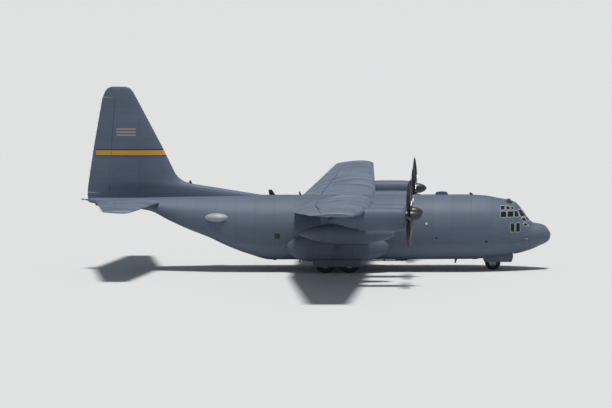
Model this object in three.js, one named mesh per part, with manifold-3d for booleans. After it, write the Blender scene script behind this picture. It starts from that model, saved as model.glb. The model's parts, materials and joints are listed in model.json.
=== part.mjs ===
// A four-engined military transport plane parked on its wheels, as a 1:2 scale model.
// Every length here is the full-size aircraft's, in millimetres, and SCALE makes the model from it.
// x runs forward, y to the left wing, z up from the ground. Stations are counted aft from the nose tip.
import * as THREE from "three";
import { mergeVertices } from "three/addons/utils/BufferGeometryUtils.js";
import Module from "manifold-3d";

const wasm = await Module();
wasm.setup();

const SCALE = 1 / 2;
const LENGTH = 29790;
const SEAM = 1; // between pieces that are fastened together
const CLEARANCE = 13; // round a piece that moves
const { PI, sin, cos, tan, atan, abs, sign, sqrt, pow } = Math;
const rad = THREE.MathUtils.degToRad;
const at = (x, y, z) => new THREE.Vector3(x, y, z);

// Fuselage
const WALL = 70;
const AFT_WALL = 50;
const RADOME_END = 1250;
const FORWARD_END = 6300;
const RAMP_HINGE = 17690;
const AFT_END = 24450;
const CONE_END = 29380;
const AROUND = 24; // points round a fuselage section
// station, top, bottom, half width, height of the widest line, exponent of the lower half
const FUSELAGE = [
  [0, 2240, 2160, 40, 2200, 2],
  [90, 2450, 1850, 310, 2200, 2],
  [350, 2770, 1650, 590, 2200, 2],
  [700, 2900, 1500, 790, 2200, 2],
  [1100, 2970, 1310, 990, 2200, 2],
  [1300, 3130, 1240, 1080, 2200, 2],
  [1600, 3500, 1150, 1230, 2210, 2.1],
  [1950, 4000, 1050, 1390, 2240, 2.2],
  [2200, 4250, 1000, 1490, 2270, 2.2],
  [2600, 4410, 920, 1630, 2330, 2.3],
  [3200, 4510, 830, 1810, 2420, 2.4],
  [4200, 4690, 730, 2030, 2520, 2.5],
  [5300, 4750, 680, 2170, 2580, 2.6],
  [17690, 4750, 660, 2170, 2580, 2.6],
  [19100, 4740, 1050, 2110, 2720, 3.2],
  [20400, 4725, 1560, 2010, 2930, 3.8],
  [21600, 4710, 2130, 1880, 3180, 4],
  [22900, 4690, 2640, 1680, 3430, 4],
  [24200, 4660, 3220, 1420, 3760, 3.4],
  [25400, 4630, 3790, 1150, 4080, 2.8],
  [27200, 4600, 4020, 760, 4250, 2.3],
  [28600, 4590, 4200, 430, 4360, 2],
  [29200, 4570, 4270, 230, 4410, 2],
  [29380, 4520, 4370, 90, 4440, 2],
];

// Wing
const HALF_SPAN = 20205;
const CENTRE_WING = 5600;
const TIP_START = 19960;
const CAMBER = 0.02;
// distance from the centreline, leading edge x, chord, thickness share, height at 40 % chord, incidence
const WING = [
  [0, -11210, 4880, 0.18, 4250, 2.5],
  [5600, -11210, 4880, 0.18, 4250, 2.5],
  [20205, -11795, 2480, 0.12, 5250, 0],
];
const FLAP_SHARE = 0.71; // of the chord, where the flap's nose has its centre
const AILERON_SHARE = 0.74;
const FLAP_ENDS = [[2330, 5480], [5720, 13800]];
const AILERON_ENDS = [13990, 19620];

// Engines and propellers
const ENGINES = [{ place: "inner", y: 4950, z: 4070 }, { place: "outer", y: 10200, z: 4310 }];
const PROPELLER_X = -8750;
const PROPELLER_RADIUS = 2055;
const BLADES = 8;
const PITCH = 44; // degrees at three quarters of the radius
const SPINNER_RADIUS = 335;
const SPINNER_BACK = -200;
const COWL_WALL = 40;
// distance behind the propeller, then top, bottom, widest line and half width from the shaft
const NACELLE = [
  [215, 400, -790, -90, 400],
  [400, 480, -890, -110, 500],
  [1100, 520, -930, -120, 550],
  [2300, 520, -920, -120, 550],
  [3200, 430, -790, -130, 500],
  [4100, 240, -560, -150, 390],
  [4850, -90, -410, -240, 200],
];

// Tail
const FIN_TOP = 11660;
// height, leading edge x, trailing edge x, half thickness
const FIN = [
  [4400, -17200, -29340, 330],
  [4760, -18320, -29400, 330],
  [4890, -19100, -29390, 330],
  [5195, -21000, -29370, 325],
  [5450, -22600, -29340, 320],
  [5540, -22960, -29326, 318],
  [5640, -23250, -29310, 315],
  [5860, -23560, -29276, 309],
  [6130, -23780, -29235, 303],
  [7880, -24620, -28950, 250],
  [10900, -26190, -28390, 135],
  [11350, -26430, -28210, 112],
  [11570, -26620, -28030, 75],
  [FIN_TOP, -26900, -27780, 28],
];
const RUDDER_HINGE = [at(-28120, 0, 4840), at(-27620, 0, 10960)];
const RUDDER_NOSE = [158, 112];
// distance from the centreline, leading edge x, chord, thickness share, height
const TAILPLANE = [
  [0, -24560, 4340, 0.085, 4350],
  [7850, -25890, 1680, 0.095, 4350],
  [7990, -25980, 1520, 0.07, 4350],
  [8025, -26080, 1320, 0.04, 4350],
];
const ELEVATOR_HINGE = [at(-27600, 700, 4350), at(-26840, 7750, 4350)];

const TAIL_SKIN = 38;

// Landing gear
const MAIN_WHEEL = { radius: 710, width: 510, x: -13420, spread: 760, y: 2175 };
const NOSE_WHEEL = { radius: 495, width: 330, x: -3650, spacing: 280 };
const WHEEL_SIDES = 16;
// station, share of the full section
const FAIRING = [
  [10050, 0.1],
  [10300, 0.42],
  [10800, 0.72],
  [11500, 0.93],
  [12300, 1],
  [15200, 1],
  [16000, 0.78],
  [16500, 0.42],
  [16680, 0.1],
];
const FAIRING_SECTION = { y: 1850, z: 1560, width: 900, top: 880, bottom: 840 };

const paint = (color, roughness = 0.55, metalness = 0.1) =>
  new THREE.MeshStandardMaterial({ color, roughness, metalness });
const finish = {
  hull: paint(0x8b97a2),
  wing: paint(0x929ea8),
  radome: paint(0x848f99, 0.6),
  inside: paint(0x9aa39a, 0.7),
  glass: paint(0x1f2a33, 0.12, 0),
  propeller: paint(0x3d3f44, 0.4, 0.3),
  engine: paint(0x6f6a63, 0.5, 0.8),
  steel: paint(0xc9ccce, 0.35, 0.7),
  tyre: paint(0x1e1e20, 0.9, 0),
};

const plane = new THREE.Group();
plane.scale.setScalar(SCALE);
plane.position.x = (SCALE * LENGTH) / 2;

// Solids from three.js geometry, and their joins and cuts

function solid(geometry) {
  const bare = new THREE.BufferGeometry();
  bare.setAttribute("position", geometry.getAttribute("position"));
  if (geometry.index) bare.setIndex(geometry.index);
  const merged = mergeVertices(bare, 1e-3);
  const position = merged.getAttribute("position").array;
  const corners = new Uint32Array(merged.index.array);
  let volume = 0;
  const [a, b, c] = [at(0, 0, 0), at(0, 0, 0), at(0, 0, 0)];
  for (let i = 0; i < corners.length; i += 3) {
    a.fromArray(position, corners[i] * 3);
    b.fromArray(position, corners[i + 1] * 3);
    c.fromArray(position, corners[i + 2] * 3);
    volume += a.dot(b.cross(c));
  }
  if (volume < 0) corners.reverse();
  return new wasm.Manifold(new wasm.Mesh({ numProp: 3, vertProperties: position, triVerts: corners }));
}

const join = (...solids) => solids.reduce((all, next) => all.add(next));

function addPiece(name, shape, material, parent = plane) {
  const { vertProperties, triVerts } = shape.getMesh();
  const geometry = new THREE.BufferGeometry();
  geometry.setAttribute("position", new THREE.BufferAttribute(vertProperties, 3));
  geometry.setIndex(new THREE.BufferAttribute(triVerts, 1));
  geometry.computeVertexNormals();
  const mesh = new THREE.Mesh(geometry, material);
  mesh.name = name;
  parent.add(mesh);
  return mesh;
}

function addPair(name, shape, material) {
  addPiece(`${name}_left`, shape, material);
  addPiece(`${name}_right`, shape, material).scale.y = -1;
}

function box(x0, x1, y0, y1, z0, z1) {
  const geometry = new THREE.BoxGeometry(abs(x1 - x0), abs(y1 - y0), abs(z1 - z0));
  geometry.translate((x0 + x1) / 2, (y0 + y1) / 2, (z0 + z1) / 2);
  return solid(geometry);
}

// An outline in the side, plan or front view, pushed through from one place to another
const VIEWS = {
  side: [at(1, 0, 0), at(0, 0, 1), at(0, 1, 0)],
  plan: [at(1, 0, 0), at(0, 1, 0), at(0, 0, 1)],
  front: [at(0, 1, 0), at(0, 0, 1), at(1, 0, 0)],
};

function prism(view, outline, from, to) {
  const shape = new THREE.Shape(outline.map(([u, v]) => new THREE.Vector2(u, v)));
  const geometry = new THREE.ExtrudeGeometry(shape, { depth: to - from, bevelEnabled: false });
  geometry.translate(0, 0, from);
  geometry.applyMatrix4(new THREE.Matrix4().makeBasis(...VIEWS[view]));
  return solid(geometry);
}

function rod(start, end, startRadius, endRadius = startRadius, sides = 12) {
  const along = end.clone().sub(start);
  const geometry = new THREE.CylinderGeometry(endRadius, startRadius, along.length(), sides);
  geometry.translate(0, along.length() / 2, 0);
  geometry.applyQuaternion(new THREE.Quaternion().setFromUnitVectors(at(0, 1, 0), along.normalize()));
  geometry.translate(start.x, start.y, start.z);
  return solid(geometry);
}

// A profile of radius and height turned about the axis, one flat facing down
function turned(profile, axis, sides) {
  const points = profile.map(([radius, along]) => new THREE.Vector2(radius, along));
  const geometry = new THREE.LatheGeometry(points, sides);
  if (axis === "y") geometry.rotateY(PI / sides);
  if (axis === "x") geometry.rotateZ(-PI / 2);
  return solid(geometry);
}

// A skin over rings with the same number of points, closed by a cap at each end
function loft(rings, capView) {
  const around = rings[0].length;
  const position = rings.flat().flatMap((p) => [p.x, p.y, p.z]);
  const faces = [];
  for (let ring = 0; ring + 1 < rings.length; ring++) {
    for (let i = 0; i < around; i++) {
      const [a, b] = [ring * around + i, ring * around + ((i + 1) % around)];
      faces.push(a, b, b + around, a, b + around, a + around);
    }
  }
  const [u, v] = VIEWS[capView];
  const flat = rings.map((ring) => ring.map((p) => new THREE.Vector2(p.dot(u), p.dot(v))));
  const last = (rings.length - 1) * around;
  const cap = (outline) =>
    THREE.ShapeUtils.triangulateShape(outline, []).map((corners) => corners.sort((a, b) => a - b));
  for (const [a, b, c] of cap(flat[0])) faces.push(c, b, a);
  for (const [a, b, c] of cap(flat.at(-1))) faces.push(last + a, last + b, last + c);
  const geometry = new THREE.BufferGeometry();
  geometry.setAttribute("position", new THREE.BufferAttribute(new Float32Array(position), 3));
  geometry.setIndex(faces);
  return solid(geometry);
}

// The row of a table at a place between its rows
function rowAt(table, place) {
  const upper = Math.max(1, table.findIndex((row) => row[0] >= place));
  const [a, b] = [table[upper - 1], table[upper]];
  const share = (place - a[0]) / (b[0] - a[0]);
  return a.map((value, i) => value + share * (b[i] - value));
}

// Points of an oval whose upper and lower halves have their own height and exponent
function oval({ x, y = 0, waist, up, down, halfWidth, lower = 2, upper = 2 }, count) {
  const ring = [];
  for (let i = 0; i < count; i++) {
    const angle = (2 * PI * i) / count;
    const [height, power] = sin(angle) > 0 ? [up, upper] : [down, lower];
    const across = sign(cos(angle)) * pow(abs(cos(angle)), 2 / power);
    const rise = sign(sin(angle)) * pow(abs(sin(angle)), 2 / power);
    ring.push(at(x, y + halfWidth * across, waist + height * rise));
  }
  return ring;
}

// Fuselage shells

// The body between two stations, its surface set inwards by inset, or outwards where that is negative
function bodySolid(from, to, inset = 0, overrun = 0) {
  const inner = FUSELAGE.map((row) => row[0]).filter((station) => station > from + 5 && station < to - 5);
  const rings = [from, ...inner, to].map((station, i, all) => {
    const [, top, bottom, halfWidth, waist, lower] = rowAt(FUSELAGE, station);
    const past = i === 0 ? overrun : i === all.length - 1 ? -overrun : 0;
    const small = (size) => Math.max(size - inset, 12);
    return oval({
      x: -station + past,
      waist,
      up: small(top - waist),
      down: small(waist - bottom),
      halfWidth: small(halfWidth),
      lower,
    }, AROUND);
  });
  return loft(rings, "front");
}

const bodyShell = (from, to, outer = 0, inner = WALL) =>
  bodySolid(from, to, outer).subtract(bodySolid(from, to, inner, 30));
const bodyOutside = bodySolid(0, CONE_END, -2 * SEAM);

// Aerofoils

function camberLine(share) {
  const peak = 0.4;
  return share < peak
    ? (CAMBER / peak ** 2) * (2 * peak * share - share ** 2)
    : (CAMBER / (1 - peak) ** 2) * (1 - 2 * peak + 2 * peak * share - share ** 2);
}

function halfThickness(share, thickness) {
  const bulge =
    0.2969 * sqrt(share) - 0.126 * share - 0.3516 * share ** 2 + 0.2843 * share ** 3 - 0.1015 * share ** 4;
  return 5 * thickness * bulge;
}

const WING_SHARES = [1, 0.84, 0.68, 0.52, 0.38, 0.24, 0.12, 0.045, 0.01];
const TAIL_SHARES = [1, 0.78, 0.58, 0.4, 0.22, 0.09, 0.02];

// Outline of an aerofoil as shares of its chord, over the top from the trailing edge and back below
function aerofoil(thickness, shares = TAIL_SHARES, camber = () => 0) {
  const over = shares.map((s) => [s, camber(s) + halfThickness(s, thickness)]);
  const under = [...shares].reverse().map((s) => [s, camber(s) - halfThickness(s, thickness)]);
  return [...over, [0, 0], ...under];
}

// The outline moved outwards by a distance, at each corner along the mean of its two normals
function grown(outline, distance) {
  if (distance === 0) return outline;
  return outline.map(([u, v], i) => {
    const [pu, pv] = outline.at(i - 1);
    const [nu, nv] = outline[(i + 1) % outline.length];
    const before = new THREE.Vector2(v - pv, pu - u).normalize();
    const after = new THREE.Vector2(nv - v, u - nu).normalize();
    const mean = before.clone().add(after).normalize();
    const out = distance / Math.max(mean.dot(before), 0.4);
    return [u + mean.x * out, v + mean.y * out];
  });
}

function wingAt(y) {
  const [, lead, chord, thickness, height, incidence] = rowAt(WING, y);
  return { lead, chord, thickness, height, incidence: rad(incidence) };
}

// A place on the chord, turned by the wing's incidence about 40 % of the chord
function onWing({ lead, chord, height, incidence }, y, share, rise) {
  const [along, up] = [(0.4 - share) * chord, rise * chord];
  return at(
    lead - 0.4 * chord + along * cos(incidence) - up * sin(incidence),
    y,
    height + along * sin(incidence) + up * cos(incidence),
  );
}

const wingMiddle = (y, share) => onWing(wingAt(abs(y)), y, share, camberLine(share));
const wingNose = (y, share) => {
  const { chord, thickness } = wingAt(y);
  return halfThickness(share, thickness) * chord * 0.97;
};

function wingRing(y, grow, chordShare = 1, thin = 1) {
  const here = wingAt(abs(y));
  const outline = aerofoil(here.thickness * thin, WING_SHARES, camberLine);
  return grown(outline, grow / here.chord).map(([share, rise]) => {
    return onWing(here, y, 0.45 + (share - 0.45) * chordShare, rise);
  });
}

const centreWing = (grow = 0) =>
  loft([wingRing(-CENTRE_WING - grow, grow), wingRing(CENTRE_WING + grow, grow)], "side");
const outerWing = (grow = 0) =>
  loft([
    wingRing(CENTRE_WING + SEAM - grow, grow),
    wingRing(TIP_START, grow),
    wingRing(HALF_SPAN - 60, grow, 0.95, 0.8),
    wingRing(HALF_SPAN, grow, 0.86, 0.35),
  ], "side");

function tailRing([y, lead, chord, thickness, height], grow) {
  const outline = aerofoil(thickness);
  return grown(outline, grow / chord).map(([share, rise]) => {
    return at(lead - share * chord, y, height + rise * chord);
  });
}

function tailSolid(grow = 0) {
  const half = TAILPLANE.slice(1).map((row) => tailRing(row, grow));
  const other = half.map((ring) => ring.map((p) => at(p.x, -p.y, p.z))).reverse();
  return loft([...other, tailRing(TAILPLANE[0], grow), ...half], "side");
}

function finSolid() {
  const rings = FIN.map(([z, lead, trail, half]) => {
    const chord = lead - trail;
    return aerofoil(half / (halfThickness(0.3, 1) * chord)).map(([share, rise]) =>
      at(lead - share * chord, rise * chord, z));
  });
  return loft(rings, "plan");
}

// The room inside a tail surface, from outlines [leading edge x, chord, thickness share, aft share, place]
const ROOM_SHARES = [1, 0.7, 0.42, 0.16];

function tailRoom(rows, place, capView) {
  return loft(rows.map(([lead, chord, thickness, aft, where]) => {
    const shares = ROOM_SHARES.map((part) => part * aft);
    const half = shares.map((share) => [share, halfThickness(share, thickness) * chord - TAIL_SKIN]);
    const outline = [...half, ...[...half].reverse().map(([share, rise]) => [share, -rise])];
    return outline.map(([share, rise]) => place(lead - share * chord, rise, where));
  }), capView);
}

function finRoom() {
  const rows = [4400, 5195, 5450, 5640, 6130, 7880, 10900].map((z) => {
    const [, lead, trail, half] = rowAt(FIN, z);
    const chord = lead - trail;
    return [lead, chord, half / (halfThickness(0.3, 1) * chord), 0.57, z];
  });
  return tailRoom(rows, (x, rise, z) => at(x, rise, z), "plan");
}

// Open below, where the tailplane crosses the tail cone
function tailplaneRoom() {
  const rows = [-7300, 0, 7300].map((y) => {
    const [, lead, chord, thickness] = rowAt(TAILPLANE, abs(y));
    return [lead, chord, thickness, y === 0 ? 0.62 : 0.45, y];
  });
  const room = tailRoom(rows, (x, rise, y) => at(x, y, TAILPLANE[0][4] + rise), "side");
  return room.add(box(-26400, -25600, -250, 250, 4000, 4350));
}

// Hinged surfaces

// A block laid along a hinge line: its ends from start and end, its reach aft of the line, its half height
function hingeBlock(start, end, endGap, fore, aft, half) {
  const along = end.clone().sub(start);
  const length = along.length();
  along.normalize();
  const back = at(-1, 0, 0).addScaledVector(along, along.x).normalize();
  const up = along.clone().cross(back);
  const geometry = new THREE.BoxGeometry(length - 2 * endGap, aft - fore, 2 * half);
  geometry.translate(length / 2, (aft + fore) / 2, 0);
  geometry.applyMatrix4(new THREE.Matrix4().makeBasis(along, back, up).setPosition(start));
  return solid(geometry);
}

// Cuts a control surface out of what carries it: a round nose in a hollow, with room to turn
function cutControl(carrier, [start, end], [startNose, endNose], aft = 2200, half = 700) {
  const along = end.clone().sub(start).normalize();
  const from = start.clone().addScaledVector(along, CLEARANCE);
  const to = end.clone().addScaledVector(along, -CLEARANCE);
  const noseSolid = rod(from, to, startNose, endNose);
  const surface = carrier.intersect(join(hingeBlock(start, end, CLEARANCE, 0, aft, half), noseSolid));
  const lip = 0.36 * Math.max(startNose, endNose);
  const [startHollow, endHollow] = [startNose, endNose].map((nose) => (nose + CLEARANCE) / cos(PI / 16));
  const hollow = rod(start, end, startHollow, endHollow, 16);
  const slot = join(hingeBlock(start, end, 0, -lip, aft, half), hollow);
  return { surface, slot };
}

// Wing, flaps and ailerons

const flapLines = FLAP_ENDS.map((ends) => ends.map((y) => wingMiddle(y, FLAP_SHARE)));
const flapNoses = FLAP_ENDS.map((ends) => ends.map((y) => wingNose(y, FLAP_SHARE)));
const aileronLine = AILERON_ENDS.map((y) => wingMiddle(y, AILERON_SHARE));
const aileronNose = AILERON_ENDS.map((y) => wingNose(y, AILERON_SHARE));

function addWing() {
  const inner = cutControl(centreWing(), flapLines[0], flapNoses[0]);
  const outer = cutControl(outerWing(), flapLines[1], flapNoses[1]);
  const aileron = cutControl(outerWing(), aileronLine, aileronNose);
  const bothSlots = join(inner.slot, inner.slot.mirror([0, 1, 0]));
  addPiece("wing_centre", centreWing().subtract(bothSlots), finish.wing);
  addPair("wing", outerWing().subtract(join(outer.slot, aileron.slot)), finish.wing);
  addPair("flap_inner", inner.surface, finish.wing);
  addPair("flap_outer", outer.surface, finish.wing);
  addPair("aileron", aileron.surface, finish.wing);
}

// Tail

function addTail() {
  const elevatorNose = ELEVATOR_HINGE.map(({ x, y }) => {
    const [, lead, chord, thickness] = rowAt(TAILPLANE, y);
    return halfThickness((lead - x) / chord, thickness) * chord * 0.96;
  });
  const elevator = cutControl(tailSolid(), ELEVATOR_HINGE, elevatorNose, 1900, 500);
  const slots = join(elevator.slot, elevator.slot.mirror([0, 1, 0]));
  addPiece("tailplane", tailSolid().subtract(join(slots, tailplaneRoom())), finish.wing);
  addPair("elevator", elevator.surface, finish.wing);
  const rudder = cutControl(finSolid(), RUDDER_HINGE, RUDDER_NOSE, 2000, 500);
  const clear = join(bodyOutside, tailSolid(SEAM), stinger(2 * SEAM));
  addPiece("fin", finSolid().subtract(join(rudder.slot, finRoom(), clear)), finish.hull);
  addPiece("rudder", rudder.surface, finish.hull);
}

// Fuselage pieces and doors

// Cockpit windows: corners in the side view for those at the sides, in the front view for those ahead.
// A window that leans has the ends of its top edge as well.
const SIDE_PANES = [
  [-3150, -2800, 3430, 3790], [-2725, -2355, 3430, 3790], [-2270, -1990, 3430, 3790, -2290, -2110],
  [-3160, -2890, 3880, 4110], [-2770, -2560, 3880, 4090, -2830, -2620], [-2450, -2300, 3880, 4050, -2530, -2370],
  [-2530, -2290, 2490, 3060], [-2190, -1940, 2490, 3060],
];
const FRONT_PANES = [
  [-290, 290, 3430, 3880, -250, 250],
  [360, 980, 3420, 3830, 320, 790], [-980, -360, 3420, 3830, -790, -320],
  [90, 600, 3130, 3340], [690, 1010, 3130, 3340], [-600, -90, 3130, 3340], [-1010, -690, 3130, 3340],
  [880, 1110, 2840, 3010], [-1110, -880, 2840, 3010],
];

function paneCutters() {
  const corners = ([u0, u1, v0, v1, top0 = u0, top1 = u1]) => [[u0, v0], [u1, v0], [top1, v1], [top0, v1]];
  const sides = SIDE_PANES.map((pane) => prism("side", corners(pane), 250, 2600));
  const fronts = FRONT_PANES.map((pane) => prism("front", corners(pane), -2400, -1260));
  return join(...sides, ...sides.map((side) => side.mirror([0, 1, 0])), ...fronts);
}

const NOSE_WELL = { fore: -2300, aft: -4360, half: 660, roof: 1930, wall: 30 };
const CREW_DOOR = { fore: -3990, aft: -4750, sill: 1040, top: 2180 };
const JUMP_DOOR = { fore: -16740, aft: -17650, sill: 1040, top: 2870 };
const HOLD_FLOOR = 1040;
const ANTENNA = [[-7290, 4730], [-7230, 4900], [-6900, 4950], [-6560, 4920], [-6450, 4730]];

const doorWay = ({ fore, aft, sill, top }, gap) =>
  box(aft + gap, fore - gap, 800, 2600, sill + gap, top - gap);

function addForwardBody() {
  addPiece("radome", bodySolid(0, RADOME_END - SEAM), finish.radome);
  const { fore, aft, half, roof, wall } = NOSE_WELL;
  const inside = bodySolid(RADOME_END, FORWARD_END, 10);
  const wellBox = box(aft - wall, fore + wall, -half - wall, half + wall, 600, roof + wall).intersect(inside);
  const well = box(aft, fore, -half, half, 500, roof);
  const body = bodyShell(RADOME_END, FORWARD_END)
    .add(wellBox)
    .subtract(join(well, paneCutters(), doorWay(CREW_DOOR, 0)));
  addPiece("forward_fuselage", body, finish.hull);
  const linerRange = box(-3350, -1400, -2200, 2200, 2400, 4160);
  const liner = bodyShell(RADOME_END, FORWARD_END, WALL + SEAM, WALL + 26).intersect(linerRange);
  addPiece("cockpit_glazing", liner, finish.glass);
  const leaf = bodyShell(RADOME_END, FORWARD_END).intersect(doorWay(CREW_DOOR, CLEARANCE));
  addPiece("crew_door", leaf, finish.hull);
}

// Flight deck: floor, instrument panel, four seats and the wall behind them
const DECK = { floor: 2160, thick: 80, fore: -1800, aft: -4980 };
const SEATS = [[-2900, 520], [-2900, -520], [-3700, 0], [-3900, -900]];

function addFlightDeck() {
  const { floor, thick, fore, aft } = DECK;
  const room = bodySolid(RADOME_END, FORWARD_END, WALL + SEAM);
  const clear = bodySolid(RADOME_END, FORWARD_END, WALL + 40);
  const stairs = box(aft + 190, -3940, 700, 2300, 1900, 2600);
  const slab = box(aft, fore, -2200, 2200, floor - thick, floor).intersect(room).subtract(stairs);
  const wall = box(aft, aft + 60, -2200, 2200, floor - thick, 4800).intersect(room);
  const panel = box(-2330, -2050, -950, 950, floor - 10, 3120).intersect(clear);
  const pedestal = box(-2700, -2300, -160, 160, floor - 10, 2760);
  const seats = SEATS.map(([x, y]) => join(
    box(x - 230, x + 250, y - 240, y + 240, floor - 10, 2580),
    box(x - 330, x - 200, y - 240, y + 240, floor - 10, 3260),
  ));
  const bunk = box(aft + 50, aft + 650, -1750, 640, floor - 10, floor + 600).intersect(clear);
  const rack = box(-2240, -1400, -620, 620, 1300, floor - thick + 10).intersect(clear);
  addPiece("flight_deck", join(slab, wall, panel, pedestal, bunk, rack, ...seats), finish.inside);
}

function addCentreBody() {
  const ways = JUMP_DOOR;
  const doorWays = join(doorWay(ways, 0), doorWay(ways, 0).mirror([0, 1, 0]));
  const antenna = prism("side", ANTENNA, -150, 150);
  const outside = antenna.subtract(bodySolid(FORWARD_END, 8000, 20));
  const tube = bodyShell(FORWARD_END + SEAM, RAMP_HINGE - SEAM).add(outside);
  addPiece("centre_fuselage", tube.subtract(join(doorWays, centreWing(SEAM))), finish.hull);
  const jumpDoor = bodyShell(FORWARD_END, RAMP_HINGE, 2, WALL - 2).intersect(doorWay(ways, SEAM));
  addPair("jump_door", jumpDoor, finish.hull);
  const floorRange = box(-RAMP_HINGE + 30, -4480, -2200, 2200, 600, HOLD_FLOOR);
  const floor = bodySolid(RADOME_END, RAMP_HINGE, WALL + SEAM).intersect(floorRange);
  addPiece("cargo_floor", floor, finish.inside);
}

// The way in at the tail: half widths at the ramp and at the aft end of the cargo door
const TAIL_WAY = { wide: 1525, narrow: 960, straight: 20900, aft: 24200 };
// Where ramp and door meet: on the belly, and higher up, leaning forward
const RAMP_SEAM = { station: 20860, lean: 0.48 };
const RAMP_TOP = [[RAMP_HINGE, HOLD_FLOOR], [20860, 2040]];

function tailWay(gap) {
  const { wide, narrow, straight, aft } = TAIL_WAY;
  const fore = -RAMP_HINGE + 200;
  const outline = [
    [fore, wide - gap], [-straight, wide - gap], [-aft + gap, narrow - gap],
    [-aft + gap, gap - narrow], [-straight, gap - wide], [fore, gap - wide],
  ];
  return prism("plan", outline, 300, 3900);
}

const stinger = (grow) => rod(at(-29300, 0, 4450), at(-LENGTH - grow, 0, 4500), 60 + grow, 35 + grow);

function addAftBody() {
  const rear = bodyShell(RAMP_HINGE, AFT_END, 0, AFT_WALL).subtract(tailWay(0));
  addPiece("aft_fuselage", rear, finish.hull);
  const { station, lean } = RAMP_SEAM;
  const seamAt = (z, side) => -station + side + lean * (z - 1700);
  const [[hinge, low], [end, high]] = RAMP_TOP;
  const rampSide = [
    [-hinge - CLEARANCE, 300], [-hinge - CLEARANCE, low],
    [seamAt(high, CLEARANCE / 2), high], [seamAt(300, CLEARANCE / 2), 300],
  ];
  const way = tailWay(CLEARANCE);
  const ramp = bodySolid(RAMP_HINGE, AFT_END).intersect(way).intersect(prism("side", rampSide, -2000, 2000));
  addPiece("cargo_ramp", ramp, finish.hull);
  const doorSide = [
    [seamAt(300, -CLEARANCE / 2), 300], [seamAt(4000, -CLEARANCE / 2), 4000],
    [-TAIL_WAY.aft + CLEARANCE, 4000], [-TAIL_WAY.aft + CLEARANCE, 300],
  ];
  const doorShell = bodyShell(RAMP_HINGE, AFT_END, 0, 110).intersect(way);
  addPiece("cargo_door", doorShell.intersect(prism("side", doorSide, -2000, 2000)), finish.hull);
  const cone = bodyShell(AFT_END + SEAM, CONE_END, 0, AFT_WALL).subtract(tailSolid(SEAM)).add(stinger(0));
  addPiece("tail_cone", cone, finish.hull);
}

// Engines

function nacelleRing([behind, top, bottom, waist, halfWidth], { y, z }, inset, past = 0) {
  return oval({
    x: PROPELLER_X - behind + past,
    y,
    waist: z + waist,
    up: top - waist - inset,
    down: waist - bottom - inset,
    halfWidth: halfWidth - inset,
    lower: 2.5,
    upper: 2.3,
  }, 16);
}

const nacelleSolid = (engine) => loft(NACELLE.map((row) => nacelleRing(row, engine, 0)), "front");

// The room inside, which starts behind the front wall and runs out through the exhaust
function nacelleRoom(engine) {
  const rows = NACELLE.filter((row, i) => i % 2 === 0);
  return loft(rows.map((row, i) => {
    const back = i === 0 || i === rows.length - 1 ? COWL_WALL + 10 : 0;
    return nacelleRing(row, engine, COWL_WALL, -back);
  }), "front");
}

function addEngines() {
  for (const engine of ENGINES) {
    const { place, y, z } = engine;
    const mouth = [[y - 270, z - 480], [y + 270, z - 480], [y + 210, z - 740], [y - 210, z - 740]];
    const intake = prism("front", mouth, PROPELLER_X - 500, PROPELLER_X);
    const wing = place === "inner" ? centreWing(SEAM) : outerWing(SEAM);
    const cowl = nacelleSolid(engine).subtract(join(nacelleRoom(engine), intake, wing));
    addPair(`nacelle_${place}`, cowl, finish.hull);
    const block = box(PROPELLER_X - 2400, PROPELLER_X - 390, y - 260, y + 260, z - 400, z + 235);
    addPair(`engine_${place}`, block, finish.engine);
  }
}

// Propellers: spinner and blades in one piece, the first blade straight up

// radius, chord, thickness
const BLADE = [
  [200, 130, 110],
  [480, 220, 70],
  [1000, 370, 42],
  [1550, 320, 26],
  [1930, 190, 14],
  [PROPELLER_RADIUS, 40, 8],
];
const BLADE_OUTLINE = [[0.5, 0], [0.1, 0.55], [-0.5, 0], [0.1, -0.45]];

function bladeRing([radius, chord, thickness]) {
  const pitch = atan((tan(rad(PITCH)) * 0.75 * PROPELLER_RADIUS) / radius);
  return BLADE_OUTLINE.map(([along, out]) => at(
    along * chord * sin(pitch) + out * thickness * cos(pitch),
    -along * chord * cos(pitch) + out * thickness * sin(pitch),
    radius,
  ));
}

function propellerSolid() {
  const spinner = turned([
    [0, SPINNER_BACK], [SPINNER_RADIUS, SPINNER_BACK], [SPINNER_RADIUS, 130],
    [300, 370], [225, 580], [120, 720], [0, 780],
  ], "x", 16);
  const blades = [];
  for (let i = 0; i < BLADES; i++) {
    const turn = new THREE.Matrix4().makeRotationX((2 * PI * i) / BLADES);
    const rings = BLADE.map((row) => bladeRing(row).map((p) => p.applyMatrix4(turn)));
    blades.push(loft(rings, i % 4 === 2 ? "side" : "plan"));
  }
  return join(spinner, ...blades);
}

function addPropellers() {
  const shape = propellerSolid();
  for (const { place, y, z } of ENGINES) {
    for (const [side, across] of [["left", y], ["right", -y]]) {
      addPiece(`propeller_${place}_${side}`, shape, finish.propeller).position.set(PROPELLER_X, across, z);
    }
  }
}

// Fuel tank and its pylon under each wing
const TANK = { y: 7600, z: 3000, nose: -9680, length: 6000, radius: 610 };
// share of the length, share of the radius
const TANK_PROFILE = [
  [0, 0], [0.02, 0.3], [0.08, 0.62], [0.18, 0.87], [0.32, 1], [0.58, 1], [0.76, 0.82], [0.9, 0.46], [1, 0],
];

function addTanks() {
  const { y, z, nose, length, radius } = TANK;
  const profile = TANK_PROFILE.map(([along, wide]) => [wide * radius, -along * length]).reverse();
  const tank = turned(profile, "x", 20).translate([nose, y, z]);
  const pylonRing = (height, lead, trail, half) => {
    const chord = lead - trail;
    return aerofoil((2 * half) / chord).map(([s, rise]) => at(lead - s * chord, y + rise * chord, height));
  };
  const pylon = loft([pylonRing(z + 300, -10700, -14250, 105), pylonRing(4500, -11500, -14200, 105)], "plan");
  addPair("fuel_tank", tank.add(pylon.subtract(outerWing(SEAM))), finish.hull);
}

// Landing gear

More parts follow.
